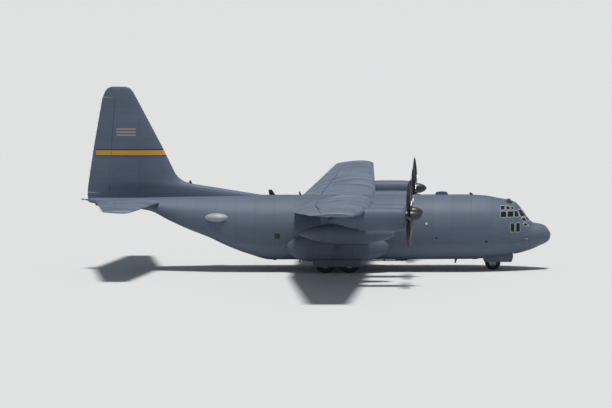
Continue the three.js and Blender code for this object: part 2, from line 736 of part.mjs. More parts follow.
function addMainGear() {
  const { radius, width, x, spread, y } = MAIN_WHEEL;
  const { y: middle, z: waist, width: out, top, bottom } = FAIRING_SECTION;
  const rings = FAIRING.map(([station, share]) => oval({
    x: -station,
    y: middle,
    waist: waist + (1 - share) * 60,
    up: top * share,
    down: bottom * share,
    halfWidth: out * share,
    upper: 2.4,
    lower: 3,
  }, 16));
  const [wellFore, wellAft] = [x + spread + radius + 90, x - spread - radius - 90];
  const well = box(wellAft, wellFore, 1000, y + width / 2 + 70, 0, 1560);
  const fairing = loft(rings, "front").subtract(join(well, bodyOutside));
  addPair("gear_fairing", fairing, finish.hull);

  const corner = radius / cos(PI / WHEEL_SIDES) / radius;
  const half = [[0, 150], [250, 190], [430, 235], [590, 255], [675, 215], [radius, 130]];
  const near = half.map(([r, w]) => [r * corner, -w]);
  const profile = [...near, ...near.map(([r, w]) => [r, -w]).reverse()];
  const wheel = turned(profile, "y", WHEEL_SIDES);
  for (const [end, along] of [["front", spread], ["rear", -spread]]) {
    for (const [side, across] of [["left", y], ["right", -y]]) {
      addPiece(`main_wheel_${end}_${side}`, wheel, finish.tyre).position.set(x + along, across, radius);
    }
  }

  const inboard = y - width / 2 - 110;
  const axles = [spread, -spread].map((along) =>
    rod(at(x + along, inboard, radius), at(x + along, y - 165 - CLEARANCE, radius), 75, 75, 8));
  const legs = [spread, -spread].map((along) => join(
    rod(at(x + along, inboard, radius - 90), at(x + along, inboard, 1150), 78, 78, 8),
    rod(at(x + along, inboard, 1100), at(x + along, inboard, 1560), 100, 100, 8),
  ));
  const beam = box(x - spread, x + spread, inboard - 45, inboard + 45, radius - 60, radius + 60);
  addPair("main_gear_leg", join(...axles, ...legs, beam).subtract(bodyOutside), finish.steel);

  const outside = y + width / 2 + 72;
  const outerDoor = box(wellAft + 20, wellFore - 20, outside, outside + 35, 400, 836);
  addPair("main_gear_door_outer", outerDoor, finish.hull);
}

function addNoseGear() {
  const { radius, width, x, spacing } = NOSE_WHEEL;
  const { roof, half: wellHalf, fore, aft } = NOSE_WELL;
  const middle = at(x, 0, radius);
  const split = 1010;
  const leg = join(
    rod(at(x, 0, split), at(x, 0, roof - SEAM), 105),
    rod(at(x, 0, 1330), at(x + 900, 0, roof - 70), 50),
    box(x + 800, x + 1000, -160, 160, roof - 140, roof - SEAM),
  );
  addPiece("nose_gear_leg", leg, finish.steel);
  const tube = turned([[64, -85], [105, -85], [105, 85], [64, 85], [64, -85]], "y", 20);
  const barrel = tube.translate(middle.toArray());
  const column = rod(at(x, 0, radius + 80), at(x, 0, split - SEAM * 4), 80);
  const bore = rod(at(x, -200, radius), at(x, 200, radius), 64, 64, 20);
  addPiece("nose_gear_fork", barrel.add(column.subtract(bore)), finish.steel);
  const corner = 1 / cos(PI / WHEEL_SIDES);
  const half = width / 2;
  const tyre = (centre) => [
    [60, centre - half + 30], [230, centre - half], [410, centre - half], [475, centre - half + 60],
    [radius, centre - 60], [radius, centre + 60],
    [475, centre + half - 60], [410, centre + half], [230, centre + half], [60, centre + half - 30],
  ];
  const ends = spacing + half - 30;
  const profile = [[0, -ends], ...tyre(-spacing), ...tyre(spacing), [0, ends]]
    .map(([r, w]) => [r > 60 ? r * corner : r, w]);
  addPiece("nose_wheels", turned(profile, "y", WHEEL_SIDES), finish.tyre).position.copy(middle);
  const door = box(aft + 60, fore - 60, wellHalf + 40, wellHalf + 70, 520, 1400).subtract(bodyOutside);
  addPair("nose_gear_door", door, finish.hull);
}

addForwardBody();
addFlightDeck();
addCentreBody();
addAftBody();
addWing();
addEngines();
addPropellers();
addTanks();
addTail();
addMainGear();
addNoseGear();

export default plane;
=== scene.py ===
"""A four-engined military transport plane parked on its wheels, as a 1:2 scale model.

Lengths in the tables are the full-size aircraft's, in millimetres, with x counted forward from the nose tip.
Everything else is in the model's own metres.
"""

import json
import math

import bmesh
import bpy
import numpy as np
from bpy.props import FloatProperty, FloatVectorProperty, IntProperty, PointerProperty
from mathutils import Matrix, Vector

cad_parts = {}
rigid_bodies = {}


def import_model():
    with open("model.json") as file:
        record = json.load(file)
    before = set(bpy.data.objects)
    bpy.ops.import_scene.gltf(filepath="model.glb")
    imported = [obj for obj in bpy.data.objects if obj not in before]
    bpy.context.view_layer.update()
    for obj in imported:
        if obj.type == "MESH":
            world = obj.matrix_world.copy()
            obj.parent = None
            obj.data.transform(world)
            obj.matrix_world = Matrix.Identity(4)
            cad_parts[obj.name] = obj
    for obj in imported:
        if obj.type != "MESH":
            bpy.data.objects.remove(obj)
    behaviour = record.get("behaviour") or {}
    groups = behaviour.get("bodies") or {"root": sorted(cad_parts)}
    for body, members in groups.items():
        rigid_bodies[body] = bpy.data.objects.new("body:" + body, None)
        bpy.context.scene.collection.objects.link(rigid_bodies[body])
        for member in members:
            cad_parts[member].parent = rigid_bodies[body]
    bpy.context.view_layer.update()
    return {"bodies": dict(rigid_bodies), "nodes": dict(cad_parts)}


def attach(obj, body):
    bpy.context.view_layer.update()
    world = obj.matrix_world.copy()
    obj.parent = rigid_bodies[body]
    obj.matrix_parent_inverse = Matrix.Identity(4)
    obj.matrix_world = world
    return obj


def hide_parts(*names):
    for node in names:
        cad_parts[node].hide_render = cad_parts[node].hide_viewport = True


bl_info = {
    "name": "Transport plane",
    "version": (1, 0, 0),
    "blender": (4, 5, 0),
    "location": "View3D > Sidebar > Plane",
    "description": "Dresses a military transport plane: skins, windows, propellers, gear and fittings",
    "category": "Object",
}

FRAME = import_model()
NODES = FRAME["nodes"]
HALF_LENGTH = 14895
# millimetres of the full-size aircraft in a metre of the model
MODEL_METRE = 2000


def at(x, y, z):
    """A place of the full-size aircraft, as a place on the model."""
    return Vector((along(x), size(y), size(z)))


def along(x):
    """A place along the full-size aircraft, as the model's x."""
    return (x + HALF_LENGTH) / MODEL_METRE


def size(value):
    """A length of the full-size aircraft, as a length of the model."""
    return value / MODEL_METRE


# Tables of the fuselage, wing, tail, nacelles and gear fairings
# station, top, bottom, half width, height of the widest line, exponent of the lower half
FUSELAGE = [
    [0, 2240, 2160, 40, 2200, 2],
    [90, 2450, 1850, 310, 2200, 2],
    [350, 2770, 1650, 590, 2200, 2],
    [700, 2900, 1500, 790, 2200, 2],
    [1100, 2970, 1310, 990, 2200, 2],
    [1300, 3130, 1240, 1080, 2200, 2],
    [1600, 3500, 1150, 1230, 2210, 2.1],
    [1950, 4000, 1050, 1390, 2240, 2.2],
    [2200, 4250, 1000, 1490, 2270, 2.2],
    [2600, 4410, 920, 1630, 2330, 2.3],
    [3200, 4510, 830, 1810, 2420, 2.4],
    [4200, 4690, 730, 2030, 2520, 2.5],
    [5300, 4750, 680, 2170, 2580, 2.6],
    [17690, 4750, 660, 2170, 2580, 2.6],
    [19100, 4740, 1050, 2110, 2720, 3.2],
    [20400, 4725, 1560, 2010, 2930, 3.8],
    [21600, 4710, 2130, 1880, 3180, 4],
    [22900, 4690, 2640, 1680, 3430, 4],
    [24200, 4660, 3220, 1420, 3760, 3.4],
    [25400, 4630, 3790, 1150, 4080, 2.8],
    [27200, 4600, 4020, 760, 4250, 2.3],
    [28600, 4590, 4200, 430, 4360, 2],
    [29200, 4570, 4270, 230, 4410, 2],
    [29380, 4520, 4370, 90, 4440, 2],
]
# distance from the centreline, leading edge, chord, thickness share, height, incidence
WING = [
    [0, -11210, 4880, 0.18, 4250, 2.5],
    [5600, -11210, 4880, 0.18, 4250, 2.5],
    [20205, -11795, 2480, 0.12, 5250, 0],
]
WING_SHARES = [0, 0.01, 0.045, 0.12, 0.24, 0.38, 0.52, 0.68, 0.84, 1]
TAIL_SHARES = [0, 0.02, 0.09, 0.22, 0.4, 0.58, 0.78, 1]
TAILPLANE = [
    [0, -24560, 4340, 0.085, 4350, 0],
    [7850, -25890, 1680, 0.095, 4350, 0],
    [7990, -25980, 1520, 0.07, 4350, 0],
    [8025, -26080, 1320, 0.04, 4350, 0],
]
# height, leading edge, trailing edge, half thickness
FIN = [
    [4400, -17200, -29340, 330],
    [4760, -18320, -29400, 330],
    [4890, -19100, -29390, 330],
    [5195, -21000, -29370, 325],
    [5450, -22600, -29340, 320],
    [5540, -22960, -29326, 318],
    [5640, -23250, -29310, 315],
    [5860, -23560, -29276, 309],
    [6130, -23780, -29235, 303],
    [7880, -24620, -28950, 250],
    [10900, -26190, -28390, 135],
    [11350, -26430, -28210, 112],
    [11570, -26620, -28030, 75],
    [11660, -26900, -27780, 28],
]
PROPELLER_X = -8750
# behind the propeller, then top, bottom, widest line and half width from the shaft
NACELLE = [
    [215, 400, -790, -90, 400],
    [400, 480, -890, -110, 500],
    [1100, 520, -930, -120, 550],
    [2300, 520, -920, -120, 550],
    [3200, 430, -790, -130, 500],
    [4100, 240, -560, -150, 390],
    [4850, -90, -410, -240, 200],
]
ENGINES = {"inner": (4950, 4070), "outer": (10200, 4310)}
# station, share of the full section
FAIRING = [
    [10050, 0.1],
    [10300, 0.42],
    [10800, 0.72],
    [11500, 0.93],
    [12300, 1],
    [15200, 1],
    [16000, 0.78],
    [16500, 0.42],
    [16680, 0.1],
]


# Surfaces


def pchip(xs, ys, x):
    """Values at x of a smooth curve through the rows that never overshoots them."""
    step = np.diff(xs)[:, None]
    slope = np.diff(ys, axis=0) / step
    near, far = 2 * step[1:] + step[:-1], step[1:] + 2 * step[:-1]
    same = slope[:-1] * slope[1:] > 0
    safe = np.where(same, slope[:-1], 1), np.where(same, slope[1:], 1)
    tangent = np.zeros_like(ys)
    tangent[1:-1] = np.where(same, (near + far) / (near / safe[0] + far / safe[1]), 0)
    tangent[0], tangent[-1] = slope[0], slope[-1]
    i = np.clip(np.searchsorted(xs, x) - 1, 0, len(xs) - 2)
    t = ((x - xs[i]) / (xs[i + 1] - xs[i]))[:, None]
    return (
        (1 + 2 * t) * (1 - t) ** 2 * ys[i]
        + t * (1 - t) ** 2 * step[i] * tangent[i]
        + t * t * (3 - 2 * t) * ys[i + 1]
        + t * t * (t - 1) * step[i] * tangent[i + 1]
    )


class Hull:
    """A body of oval sections along x.

    Rows: station, centre y, widest line z, up, down, half width, lower and upper power.
    """

    def __init__(self, rows, sides, round_nose=False):
        rows = np.array(rows, float)
        rows[:, :6] /= MODEL_METRE
        self.stations, self.rows, self.sides = rows[:, 0], rows[:, 1:], sides
        self.round_nose = round_nose

    def section(self, x, smooth=True, inset=0.0):
        station = np.clip(size(HALF_LENGTH) - x, self.stations[0], self.stations[-1])
        if smooth and self.round_nose:
            rows = pchip(np.sqrt(self.stations), self.rows, np.sqrt(station))
        elif smooth:
            rows = pchip(self.stations, self.rows, station)
        else:
            rows = np.stack([np.interp(station, self.stations, column) for column in self.rows.T], axis=1)
        rows = rows.copy()
        rows[:, 2:5] = np.maximum(rows[:, 2:5] - inset, size(12))
        return rows

    def share(self, co, inset=0.0):
        """How far out from the middle each point is, where 1 is on the surface."""
        centre, waist, up, down, half, lower, upper = self.section(co[:, 0], inset=inset).T
        across, rise = co[:, 1] - centre, co[:, 2] - waist
        over = rise > 0
        power, tall = np.where(over, upper, lower), np.where(over, up, down)
        return ((abs(across) / half) ** power + (abs(rise) / tall) ** power) ** (1 / power)

    def depth(self, co, inset=0.0):
        """How deep each point lies below the frame's own flat-sided surface."""
        centre, waist, up, down, half, lower, upper = self.section(co[:, 0], False, inset).T[:, :, None]
        angle = np.arange(self.sides + 1) * 2 * np.pi / self.sides
        c, s = np.cos(angle)[None], np.sin(angle)[None]
        over = s > 1e-9
        power, tall = np.where(over, upper, lower), np.where(over, up, down)
        ring_y = half * np.sign(c) * abs(c) ** (2 / power)
        ring_z = tall * np.sign(s) * abs(s) ** (2 / power)
        y, z = co[:, 1:2] - centre, co[:, 2:3] - waist
        y0, z0, y1, z1 = ring_y[:, :-1], ring_z[:, :-1], ring_y[:, 1:], ring_z[:, 1:]
        inside = (y0 * z - z0 * y >= -1e-12) & (y * z1 - z * y1 >= -1e-12)
        scale = (y0 * (z1 - z0) - z0 * (y1 - y0)) / (y * (z1 - z0) - z * (y1 - y0) + 1e-15)
        scale = np.where(inside & (scale > 0), scale, np.inf).min(axis=1)
        return (scale - 1) * np.hypot(y, z)[:, 0]

    def snapped(self, co, inset=0.0):
        """The points moved out or in to the smooth surface."""
        middle = self.section(co[:, 0])[:, :2]
        out = co.copy()
        out[:, 1:] = middle + (co[:, 1:] - middle) / self.share(co, inset=inset)[:, None]
        return out

    def side_y(self, x, z, side=1, inset=0.0):
        """The y of the skin at a place in the side view."""
        centre, waist, up, down, half, lower, upper = self.section(np.array([x]), inset=inset)[0]
        tall, power = (up, upper) if z > waist else (down, lower)
        return centre + side * half * max(1 - (abs(z - waist) / tall) ** power, 0) ** (1 / power)

    def top_z(self, x, y, side=1, inset=0.0):
        """The z of the skin at a place in the plan view, on top or below."""
        centre, waist, up, down, half, lower, upper = self.section(np.array([x]), inset=inset)[0]
        tall, power = (up, upper) if side > 0 else (down, lower)
        return waist + side * tall * max(1 - (abs(y - centre) / half) ** power, 0) ** (1 / power)

    def front_x(self, y, z, low, high, inset=0.0):
        """The x of the skin at places in the front view, between two places where it is crossed."""
        low, high = np.full_like(y, low), np.full_like(y, high)
        for _ in range(20):
            middle = (low + high) / 2
            outside = self.share(np.stack([middle, y, z], axis=1), inset=inset) > 1
            low, high = np.where(outside, low, middle), np.where(outside, middle, high)
        return (low + high) / 2

    def outward(self, middles, normals):
        """Whether faces with these middles and normals look straight out of the surface."""
        away = middles[:, 1:] - self.section(middles[:, 0])[:, :2]
        return (away * normals[:, 1:]).sum(axis=1) > 0.75 * np.linalg.norm(away, axis=1)


def nacelle_hull(place, side):
    y, z = ENGINES[place]
    rows = [
        [-PROPELLER_X + behind, side * y, z + waist, top - waist, waist - bottom, half, 2.5, 2.3]
        for behind, top, bottom, waist, half in NACELLE
    ]
    return Hull(rows, 16)


def fairing_hull(side):
    rows = [
        [station, side * 1850, 1560 + (1 - share) * 60, 880 * share, 840 * share, 900 * share, 3, 2.4]
        for station, share in FAIRING
    ]
    return Hull(rows, 16)


BODY = Hull([[s, 0, w, t - w, w - b, h, p, 2] for s, t, b, h, w, p in FUSELAGE], 24, round_nose=True)


def half_thickness(share, thickness):
    share = np.maximum(share, 0)
    powers = 0.2969 * np.sqrt(share) - 0.126 * share - 0.3516 * share**2
    return 5 * thickness * (powers + 0.2843 * share**3 - 0.1015 * share**4)


def wing_camber(share):
    ahead = 0.02 / 0.16 * (0.8 * share - share**2)
    behind = 0.02 / 0.36 * (0.2 + 0.8 * share - share**2)
    return np.where(share < 0.4, ahead, behind)


def no_camber(share):
    return np.zeros_like(share)


class Foil:
    """A wing or fin with straight lines between its sections.

    Rows: place, leading edge, chord, thickness share, height, incidence.
    The skin is left as it is past the tip.
    """

    def __init__(self, rows, shares, tip, camber=no_camber, upright=False):
        rows, self.tip = np.array(rows, float), size(tip)
        self.places, self.lead = size(rows[:, 0]), along(rows[:, 1])
        self.chord, self.thickness, self.height = size(rows[:, 2]), rows[:, 3], size(rows[:, 4])
        self.incidence = np.radians(rows[:, 5])
        self.shares, self.camber, self.upright = np.array(shares), camber, upright

    def ring(self, i, share, rise):
        """The x and the height of a share of the chord in section i."""
        along, up = (0.4 - share) * self.chord[i], rise * self.chord[i]
        c, s = np.cos(self.incidence[i]), np.sin(self.incidence[i])
        return self.lead[i] - 0.4 * self.chord[i] + along * c - up * s, self.height[i] + along * s + up * c

    def rise(self, i, share, side, smooth):
        exact = lambda s: self.camber(s) + side * half_thickness(s, 1) * self.thickness[i]
        if smooth:
            return exact(share)
        grid = self.shares
        half = half_thickness(grid, 1)[None] * self.thickness[i][:, None]
        values = np.where(side[:, None] > 0, 1, -1) * half + self.camber(grid)[None]
        j = np.clip(np.searchsorted(grid, share) - 1, 0, len(grid) - 2)
        t = (share - grid[j]) / (grid[j + 1] - grid[j])
        rows = np.arange(len(share))
        return values[rows, j] * (1 - t) + values[rows, j + 1] * t

    def surface(self, co, smooth=True):
        """Share of the chord and surface height at each point, on the point's side of the mean line."""
        place = co[:, 2] if self.upright else abs(co[:, 1])
        tall = co[:, 1] if self.upright else co[:, 2]
        i = np.clip(np.searchsorted(self.places, place) - 1, 0, len(self.places) - 2)
        w = (place - self.places[i]) / (self.places[i + 1] - self.places[i])
        lead = self.lead[i] * (1 - w) + self.lead[i + 1] * w
        chord = self.chord[i] * (1 - w) + self.chord[i + 1] * w
        share = (lead - co[:, 0]) / chord

        def between(rise_near, rise_far):
            x0, h0 = self.ring(i, share, rise_near)
            x1, h1 = self.ring(i + 1, share, rise_far)
            return x0 * (1 - w) + x1 * w, h0 * (1 - w) + h1 * w

        side = np.ones_like(share)
        for _ in range(4):
            share = np.clip(share, 0, 1)
            middle = self.camber(share)
            x, height = between(middle, middle)
            side = np.where(tall >= height, 1.0, -1.0)
            x, height = between(self.rise(i, share, side, smooth), self.rise(i + 1, share, side, smooth))
            share = share + (x - co[:, 0]) / chord
        return share, height, tall

    def depth(self, co, inset=0.0):
        share, height, tall = self.surface(co, smooth=False)
        return abs(height - tall) + np.maximum(abs(share - 0.5) - 0.501, 0) * 10

    def outward(self, middles, normals):
        return np.zeros(len(middles), bool)

    def snapped(self, co, inset=0.0):
        out = co.copy()
        out[:, 1 if self.upright else 2] = self.surface(co)[1]
        return out

    def point(self, place, share, side=1, up=0.0):
        """A place on or off the skin, by distance along the span, share of the chord and side."""
        i = int(np.clip(np.searchsorted(self.places, abs(place)) - 1, 0, len(self.places) - 2))
        w = (abs(place) - self.places[i]) / (self.places[i + 1] - self.places[i])
        ends = []
        for k in (i, i + 1):
            rise = self.camber(np.array(share)) + side * half_thickness(np.array(share), self.thickness[k])
            ends.append(self.ring(k, share, rise))
        x = ends[0][0] * (1 - w) + ends[1][0] * w
        height = ends[0][1] * (1 - w) + ends[1][1] * w + side * up
        return Vector((x, height, place)) if self.upright else Vector((x, place, height))

    def cut_planes(self, i, k, shares):
        """Planes along the span through shares of the chord, from section i to section k."""
        planes = []
        for share in shares:
            (x0, _), (x1, _) = self.ring(i, share, 0), self.ring(k, share, 0)
            run = Vector((x1 - x0, self.places[k] - self.places[i]))
            flip = -1 if self.upright else 1
            normal = Vector((run.y, 0, -run.x)) if self.upright else Vector((run.y, -run.x, 0))
            place = Vector((x0, 0, self.places[i])) if self.upright else Vector((x0, self.places[i], 0))
            planes.append((place, normal * flip))
        return planes


WING_FOIL = Foil(WING, WING_SHARES, tip=19950, camber=wing_camber)
TAIL_FOIL = Foil(TAILPLANE, TAIL_SHARES, tip=7980)
FIN_THICK = float(half_thickness(0.3, 1))
FIN_FOIL = Foil(
    [[z, lead, lead - trail, half / (FIN_THICK * (lead - trail)), 0, 0] for z, lead, trail, half in FIN],
    TAIL_SHARES,
    tip=20000,
    upright=True,
)


# Node trees written as expressions


def math_node(operation, swapped=False):
    """A method that adds a Math node for a link and what it is combined with."""

    def method(self, *others):
        values = (*others, self) if swapped else (self, *others)
        return self.tree.node("ShaderNodeMath", {"operation": operation}, dict(enumerate(values)))

    return method


class Link:
    """An output in a node tree. Arithmetic on it adds Math nodes."""

    def __init__(self, tree, socket):
        self.tree, self.socket = tree, socket

    __add__, __radd__ = math_node("ADD"), math_node("ADD", True)
    __sub__, __rsub__ = math_node("SUBTRACT"), math_node("SUBTRACT", True)
    __mul__, __rmul__ = math_node("MULTIPLY"), math_node("MULTIPLY", True)
    __truediv__, __rtruediv__ = math_node("DIVIDE"), math_node("DIVIDE", True)
    __gt__, __lt__ = math_node("GREATER_THAN"), math_node("LESS_THAN")
    __abs__, low, high = math_node("ABSOLUTE"), math_node("MINIMUM"), math_node("MAXIMUM")
    fraction, floor = math_node("FRACT"), math_node("FLOOR")

    def within(self, low, high):
        """1 between two values and 0 outside them."""
        return (self > low) * (self < high)

    def fade(self, low, high):
        """0 below low, 1 above high, and a smooth step between."""
        settings = {"interpolation_type": "SMOOTHSTEP"}
        return self.tree.node("ShaderNodeMapRange", settings, {0: self, 1: low, 2: high})


class Tree:
    """A node tree whose nodes are added by one method."""

    def __init__(self, nodes):
        self.nodes, self.links = nodes.nodes, nodes.links

    def node(self, kind, settings=None, sockets=None, out=0):
        """Adds a node: its settings first, then the values or links of its sockets by name or number."""
        node = self.nodes.new(kind)
        for key, value in (settings or {}).items():
            setattr(node, key, value)
        for key, value in (sockets or {}).items():
            if isinstance(value, Link):
                self.links.new(value.socket, node.inputs[key])
            elif value is not None:
                node.inputs[key].default_value = value
        return Link(self, node.outputs[out]) if len(node.outputs) else node


class Finish(Tree):
    """One material and its node tree."""

    def __init__(self, name):
        self.material = bpy.data.materials.new(name)
        self.material.use_nodes = True
        self.material.node_tree.nodes.clear()
        super().__init__(self.material.node_tree)
        self.place = self.node("ShaderNodeTexCoord", out=3)

    def axes(self, vector=None):
        sockets = {0: vector or self.place}
        return [self.node("ShaderNodeSeparateXYZ", sockets=sockets, out=i) for i in range(3)]

    def vector(self, x, y, z):
        return self.node("ShaderNodeCombineXYZ", sockets={0: x, 1: y, 2: z})

    def noise(self, scale, detail=3.0, vector=None, roughness=0.5):
        sockets = {"Vector": vector or self.place, "Scale": scale, "Detail": detail, "Roughness": roughness}
        return self.node("ShaderNodeTexNoise", sockets=sockets)

    def mix(self, share, one, other):
        near, far = [c if isinstance(c, Link) else tuple(c) + (1,) for c in (one, other)]
        return self.node("ShaderNodeMix", {"data_type": "RGBA"}, {0: share, 6: near, 7: far}, out=2)

    def shade(self, colour, amount):
        """The colour made lighter or darker by an amount about 1."""
        amounts = self.vector(amount, amount, amount)
        return self.node("ShaderNodeVectorMath", {"operation": "MULTIPLY"}, {0: colour, 1: amounts})

    def bump(self, height, depth, strength=1.0):
        sockets = {"Height": height, "Distance": depth, "Strength": strength}
        return self.node("ShaderNodeBump", sockets=sockets)

    def surface(self, colour, roughness=0.5, metallic=0.0, normal=None, **more):
        """Ends the tree in one shader and gives the material."""
        sockets = {"Roughness": roughness, "Metallic": metallic, "Normal": normal}
        sockets["Base Color"] = colour if isinstance(colour, Link) else tuple(colour) + (1,)
        sockets.update({key.replace("_", " "): value for key, value in more.items()})
        shader = self.node("ShaderNodeBsdfPrincipled", sockets=sockets)
        self.node("ShaderNodeOutputMaterial", sockets={"Surface": shader})
        return self.material


MATERIALS = {}


# Finishes


def weathered(finish, colour, frames, stringers, shine=0.58, grime=1.0):
    """Matt paint over skin panels of slightly different tone, with seams, streaks and faint stains."""
    x, y, z = finish.axes()
    cell = finish.vector((x / frames).floor(), (y / 0.9).floor(), (z / stringers).floor())
    panel = finish.node("ShaderNodeTexWhiteNoise", {"noise_dimensions": "3D"}, {"Vector": cell})
    cloud = finish.noise(0.8, 5.0, roughness=0.6)
    streak = finish.noise(1.0, 4.0, finish.vector(x * 0.5, y * 7, z * 7), 0.65)
    fine = finish.noise(60.0, 2.0)
    width = 0.0045
    across = abs((x / frames).fraction() - 0.5) > 0.5 - width / frames
    around = abs((z / stringers).fraction() - 0.5) > 0.5 - width / stringers
    seam = across.high(around)
    tone = 0.94 + panel * 0.08 + (cloud - 0.5) * (0.24 * grime) + (streak - 0.5) * (0.22 * grime)
    tone = tone * (1 - seam * 0.2) + (fine - 0.5) * 0.03
    roughness = shine + (cloud - 0.5) * 0.2 + (streak - 0.5) * 0.16 + seam * 0.08
    return finish.shade(tuple(colour), tone), roughness, finish.bump((1 - seam) + fine * 0.04, 0.0012, 0.7)


def skin_paint(name, colour, frames=0.62, stringers=0.46, dirt=None, marks=None, **how):
    """A painted skin, with a function that lays coloured marks on it and a mask of soot."""
    finish = Finish(name)
    painted, roughness, normal = weathered(finish, colour, frames, stringers, **how)
    if marks:
        painted = marks(finish, painted)
    if dirt:
        mask = dirt(finish)
        painted = finish.mix(mask, painted, (0.016, 0.015, 0.014))
        roughness = roughness + mask * 0.2
    return finish.surface(painted, roughness, 0.0, normal, Specular_IOR_Level=0.3)


def plain(name, colour, roughness=0.5, metallic=0.0, scale=14.0, wear=0.12, **more):
    """Paint, metal or plastic with a little mottling and fine grain."""
    finish = Finish(name)
    cloud, fine = finish.noise(scale, 4.0), finish.noise(scale * 14, 2.0)
    shaded = finish.shade(tuple(colour), 1 + (cloud - 0.5) * (wear * 2) + (fine - 0.5) * 0.06)
    uneven = roughness + (cloud - 0.5) * 0.2
    return finish.surface(shaded, uneven, metallic, finish.bump(fine, 0.0004, 0.4), **more)


def fin_marks(finish, painted):
    """The yellow band with thin dark edges across the fin and rudder, and three pale stripes above it."""
    x, _, z = finish.axes()
    low, high, edge = size(7300), size(7620), size(58)
    ahead = x > along(-28830)
    band = z.within(low, high) * ahead
    border = z.within(low - edge, high + edge) * ahead - band
    wear = finish.noise(3.0, 4.0)
    painted = finish.mix(border, painted, (0.010, 0.011, 0.014))
    painted = finish.mix(band * (0.9 + wear * 0.1), painted, (0.52, 0.30, 0.03))
    patch = x.within(along(-27480), along(-26260)) * z.within(size(8540), size(9020))
    stripe = ((z - size(8540)) / size(192)).fraction() < 0.52
    return finish.mix(patch * stripe * (0.62 + wear * 0.2), painted, (0.42, 0.33, 0.33))


def exhaust_soot(finish):
    """Soot that trails aft from the four exhausts over nacelle, wing and flap."""
    x, y, z = finish.axes()
    streak, mask = finish.noise(1.0, 4.0, finish.vector(x * 0.6, y * 9, z * 9), 0.6), 0.0
    for y0, z0 in ENGINES.values():
        near = 1 - abs(abs(y) - size(y0)).fade(0.02, 0.2)
        low = 1 - abs(z - size(z0 - 160)).fade(0.12, 0.34)
        behind = 1 - x.fade(along(-13200), along(-11900))
        mask = mask + near * low * behind
    return (mask * (0.3 + streak * 0.5)).low(0.75)


def wing_stains(finish, painted):
    """Broken dark streaks along the chord where oil and soot have dried on the skin."""
    x, y, _ = finish.axes()
    patch = finish.noise(1.0, 3.0, finish.vector(x * 0.55, y * 1.7, 0.0), 0.55).fade(0.46, 0.66)
    streak = finish.noise(1.0, 4.0, finish.vector(x * 0.9, y * 12, 0.0), 0.6).fade(0.3, 0.7)
    bleached = finish.noise(1.0, 2.0, finish.vector(x * 0.6 + 5, y * 1.2 + 3, 2.0), 0.5).fade(0.52, 0.7)
    painted = finish.mix(bleached * 0.4, painted, (0.25, 0.30, 0.38))
    return finish.mix(patch * (0.35 + streak * 0.65) * 0.72, painted, (0.052, 0.062, 0.078))


def blade_finish(colour):
    """A dark blade with a bright metal strip on its leading edge and a paler boot near its root."""
    finish = Finish("propeller_blade")
    share = finish.node("ShaderNodeAttribute", {"attribute_name": "share"}, out=1)
    span, chord, _ = finish.axes(share)
    strip = (chord < 0.09) * (span > 0.34)
    boot = (chord < 0.3) * span.within(0.06, 0.34)
    tip = span > 0.955
    cloud = finish.noise(9.0, 4.0)
    fine = finish.noise(180.0, 2.0)
    painted = finish.shade(tuple(colour), 0.9 + cloud * 0.25)
    painted = finish.mix(boot, painted, (0.011, 0.011, 0.012))
    painted = finish.mix(tip, painted, (0.12, 0.125, 0.13))
    painted = finish.mix(strip, painted, (0.36, 0.37, 0.38))
    roughness = 0.36 + cloud * 0.14 + boot * 0.25 - strip * 0.06
    return finish.surface(painted, roughness, strip * 0.85, finish.bump(fine, 0.0003, 0.4))


def tyre_finish():
    finish = Finish("tyre_rubber")
    dust, fine = finish.noise(12.0, 5.0), finish.noise(220.0, 2.0)
    colour = finish.mix(dust.fade(0.45, 0.75) * 0.5, (0.012, 0.012, 0.013), (0.05, 0.047, 0.043))
    return finish.surface(colour, 0.82 + (dust - 0.5) * 0.2, 0.0, finish.bump(fine + dust, 0.0006, 0.5))


def burnt_metal():
    finish = Finish("burnt_metal")
    cloud, fine = finish.noise(7.0, 5.0), finish.noise(90.0, 3.0)
    colour = finish.mix(cloud.fade(0.35, 0.7), (0.045, 0.042, 0.040), (0.12, 0.105, 0.095))
    return finish.surface(colour, 0.42 + fine * 0.25, 0.85, finish.bump(fine, 0.0005, 0.4))


def hold_floor():
    """Bare alloy floor panels, scuffed along the hold, with a fine non-slip grain."""
    finish = Finish("hold_floor")
    x, y, z = finish.axes()
    scuff = finish.noise(1.0, 5.0, finish.vector(x * 2, y * 26, z * 2), 0.65)
    fine = finish.noise(150.0, 2.0)
    panel = ((x / 0.5).fraction() < 0.012).high((y / 0.3).fraction() < 0.02)
    colour = finish.mix(scuff.fade(0.4, 0.7), (0.13, 0.135, 0.14), (0.27, 0.275, 0.28))
    colour = finish.shade(colour, 1 - panel * 0.5)
    return finish.surface(colour, 0.5 + fine * 0.2, 0.5, finish.bump(fine - panel, 0.0008, 0.6))


def colour_property(name, description, default):
    return FloatVectorProperty(name=name, description=description, subtype="COLOR", default=default)


def length_property(name, description, default, low, high):
    ends = {"min": low, "max": high, "unit": "LENGTH"}
    return FloatProperty(name=name, description=description, default=default, **ends)


def count_property(name, description, default, low, high):
    return IntProperty(name=name, description=description, default=default, min=low, max=high)


class PlanePaint(bpy.types.PropertyGroup):
    """Colours of the aircraft's finishes."""

    # The aircraft has one grey paint. The wing grey, used on the wing and tailplane, is a lighter copy of
    # the hull grey: painted light on their upper surfaces.
    hull: colour_property("Hull grey", "Paint of the fuselage, fin and nacelles", (0.098, 0.128, 0.178))
    wing: colour_property("Wing grey", "Paint of the wing and tailplane", (0.133, 0.169, 0.231))
    radome: colour_property("Radome grey", "Paint of the nose cone", (0.104, 0.134, 0.182))
    inside: colour_property("Inside paint", "Paint of the hold, cockpit and wheel wells", (0.33, 0.36, 0.33))
    propeller: colour_property("Propeller", "Composite of the blades and spinners", (0.030, 0.031, 0.035))


